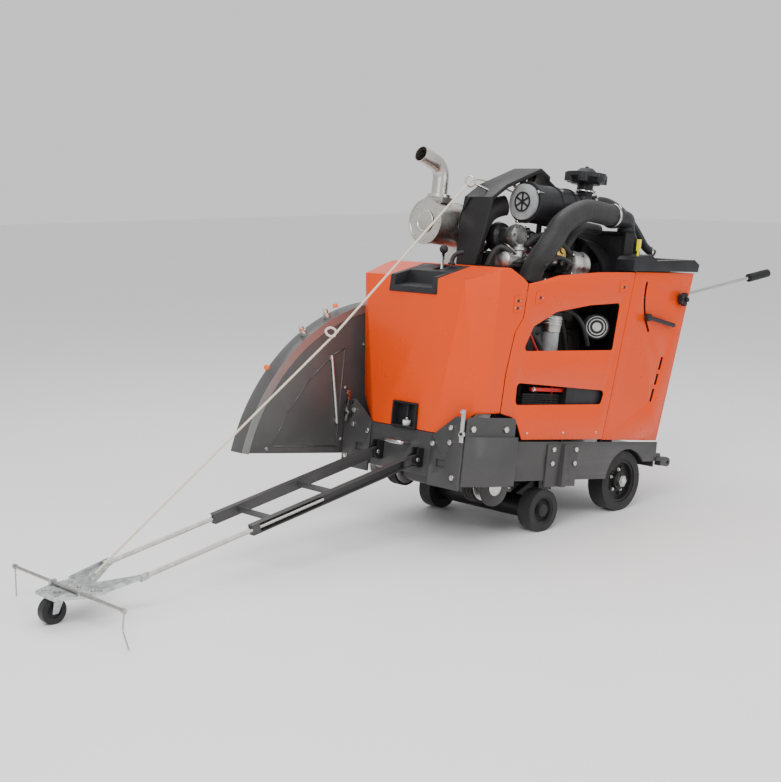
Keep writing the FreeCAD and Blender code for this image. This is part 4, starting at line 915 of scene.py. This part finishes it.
def make_vent_bars():
    """A black sheet behind the console's vents, painted shade standing in for the dark inside of the console,
    and the bars between them.
    """
    d = Draft()
    for side in (-1, 1):
        # black sheet inside the console: painted shade seen through the vents
        painted_shade_sheet = [(100, 330), (158, 330), (206, 548), (140, 548)]
        d.slab(painted_shade_sheet, "x", *sorted((side * 303, side * 309)), BLACK)
        for y, z in ((159, 472.5), (141, 407.5)):
            d.slab([(y - 14, z - 9), (y + 16, z - 9), (y + 20, z + 9), (y - 10, z + 9)], "x",
                   *sorted((side * 313, side * 317.6)), ORANGE)
    d.done("vent_bars", "chassis", "orange_paint", 0.3)


# ---- blade guard ----

def guard_arc(angle, radius):
    """A point of the guard's arc, as y and z, from its angle above the front."""
    return GUARD_CENTRE[0] - radius * cos(angle), GUARD_CENTRE[1] + radius * sin(angle)


def make_guard_trim():
    """Bright rim band, the pressed panel's outline, bolts and water fittings on the front guard."""
    d = Draft()
    x = GUARD_FACE_X
    start, stop, steps = radians(10.5), radians(88.6), 40
    angles = [start + (stop - start) * i / steps for i in range(steps + 1)]
    for a, b in zip(angles, angles[1:]):
        quad = [guard_arc(a, 771.5), guard_arc(b, 771.5), guard_arc(b, 738), guard_arc(a, 738)]
        d.slab(quad, "x", x, x + 1.4, EXTRA["rim_band"])
    outline = [(-1392, 60), (-1330, 190), (-1230, 330), (-1120, 430), (-1062, 460), (-1062, 60), (-1392, 60)]
    for (ay, az), (by, bz) in zip(outline, outline[1:]):
        d.lathe((x, ay, az), (0, by - ay, bz - az), [(0, 3.2), (hypot(by - ay, bz - az), 3.2)],
                MATERIALS["guard_paint"], 12)
    for y, z in ((-1040, 90), (-1040, 300), (-960, 480), (-1420, 50), (-860, 560)):
        d.bolt((x, y, z), LEFT, 6, ZINC)
    for a in (radians(36), radians(52), radians(66)):
        base = Vector((GUARD_LINE_X, *guard_arc(a, 800)))
        out = Vector((0, -cos(a), sin(a)))
        d.lathe(base - out * 4, out, [(0, 12), (5, 12), (6, 9), (12, 9)], EXTRA["orange_plastic"], 16)
    d.done("guard_trim", "guard_swing", "guard_paint", 0)


def make_guard_wires():
    """Three thin wires over the guard's rim."""
    d = Draft()
    x = GUARD_LINE_X
    for i, material in enumerate((BLACK, RED_WIRE, BLACK)):
        d.hose([(x, -1180 + 40 * i, 500 + 10 * i), (x + 5, -1120 + 36 * i, 560), (x, -1050 + 30 * i, 585),
                (x - 9, -960, 640)], 2.2, material, 8, 8)
    d.done("guard_wires", "guard_swing", "belt_rubber", 0)


# ---- running gear ----

def make_wheel_bolts():
    """Five wheel bolts and the hub nut on each rear wheel."""
    d = Draft()
    for side in (-1, 1):
        for y, z in around(5, 46, first=0.3):
            d.bolt((side * 283, y, z), (side, 0, 0), 6.5, ZINC)
        d.bolt((side * 305, 0, 0), (side, 0, 0), 15, ZINC)
    d.done("rear_wheel_bolts", "rear_axle", "zinc", 0.4)


def make_shaft_end():
    """Bright cap on the blade shaft's left end."""
    d = Draft()
    d.lathe((298, -790, -10), LEFT, [(0, 34), (3, 34), (4, 30), (6, 24), (9, 24)], CHROME, 32)
    d.done("shaft_end", "arbor_shaft", "zinc", 0.4)


def make_tip_hardware():
    """Three bolts on the pointer's tip plate, placed in the parked drawing."""
    d = Draft()
    for x, y in ((-70, -2430), (70, -2430), (0, -2440)):
        d.bolt((x, y, 101), UP, 7, ZINC)
    d.done("tip_hardware", "pointer_slider", "zinc", 0.3, placed=PARKED)


# y, z, half width, half height, slope over the width, and the heights of the black plates painted as the
# square holes' shade
PANEL_PATCHES = ((-661, 732, 26, 24, 10, (0,)), (-140, 812, 26, 24, 8, (0,)))
HOOD_PATCHES = ((-788, 697, 20, 32, 6, (-14, 14)),)
RIVETS = ((-656, 203), (-436, 206), (-224, 209))

for side, tag in ((1, "l"), (-1, "r")):
    make_panel_hardware("panel_catches_" + tag, "panel_" + tag, side, PANEL_PATCHES, RIVETS)
    make_panel_hardware("hood_catches_" + tag, "chassis", side, HOOD_PATCHES, ())
for make in (make_engine_top, make_alternator, make_fuel_lines, make_engine_hoses, make_wiring,
             make_intake_hose, make_rear_hoses, make_muffler_fittings, make_cleaner_fittings, make_recess,
             make_filters, make_vent_bars, make_guard_trim, make_guard_wires, make_wheel_bolts,
             make_shaft_end, make_tip_hardware):
    make()
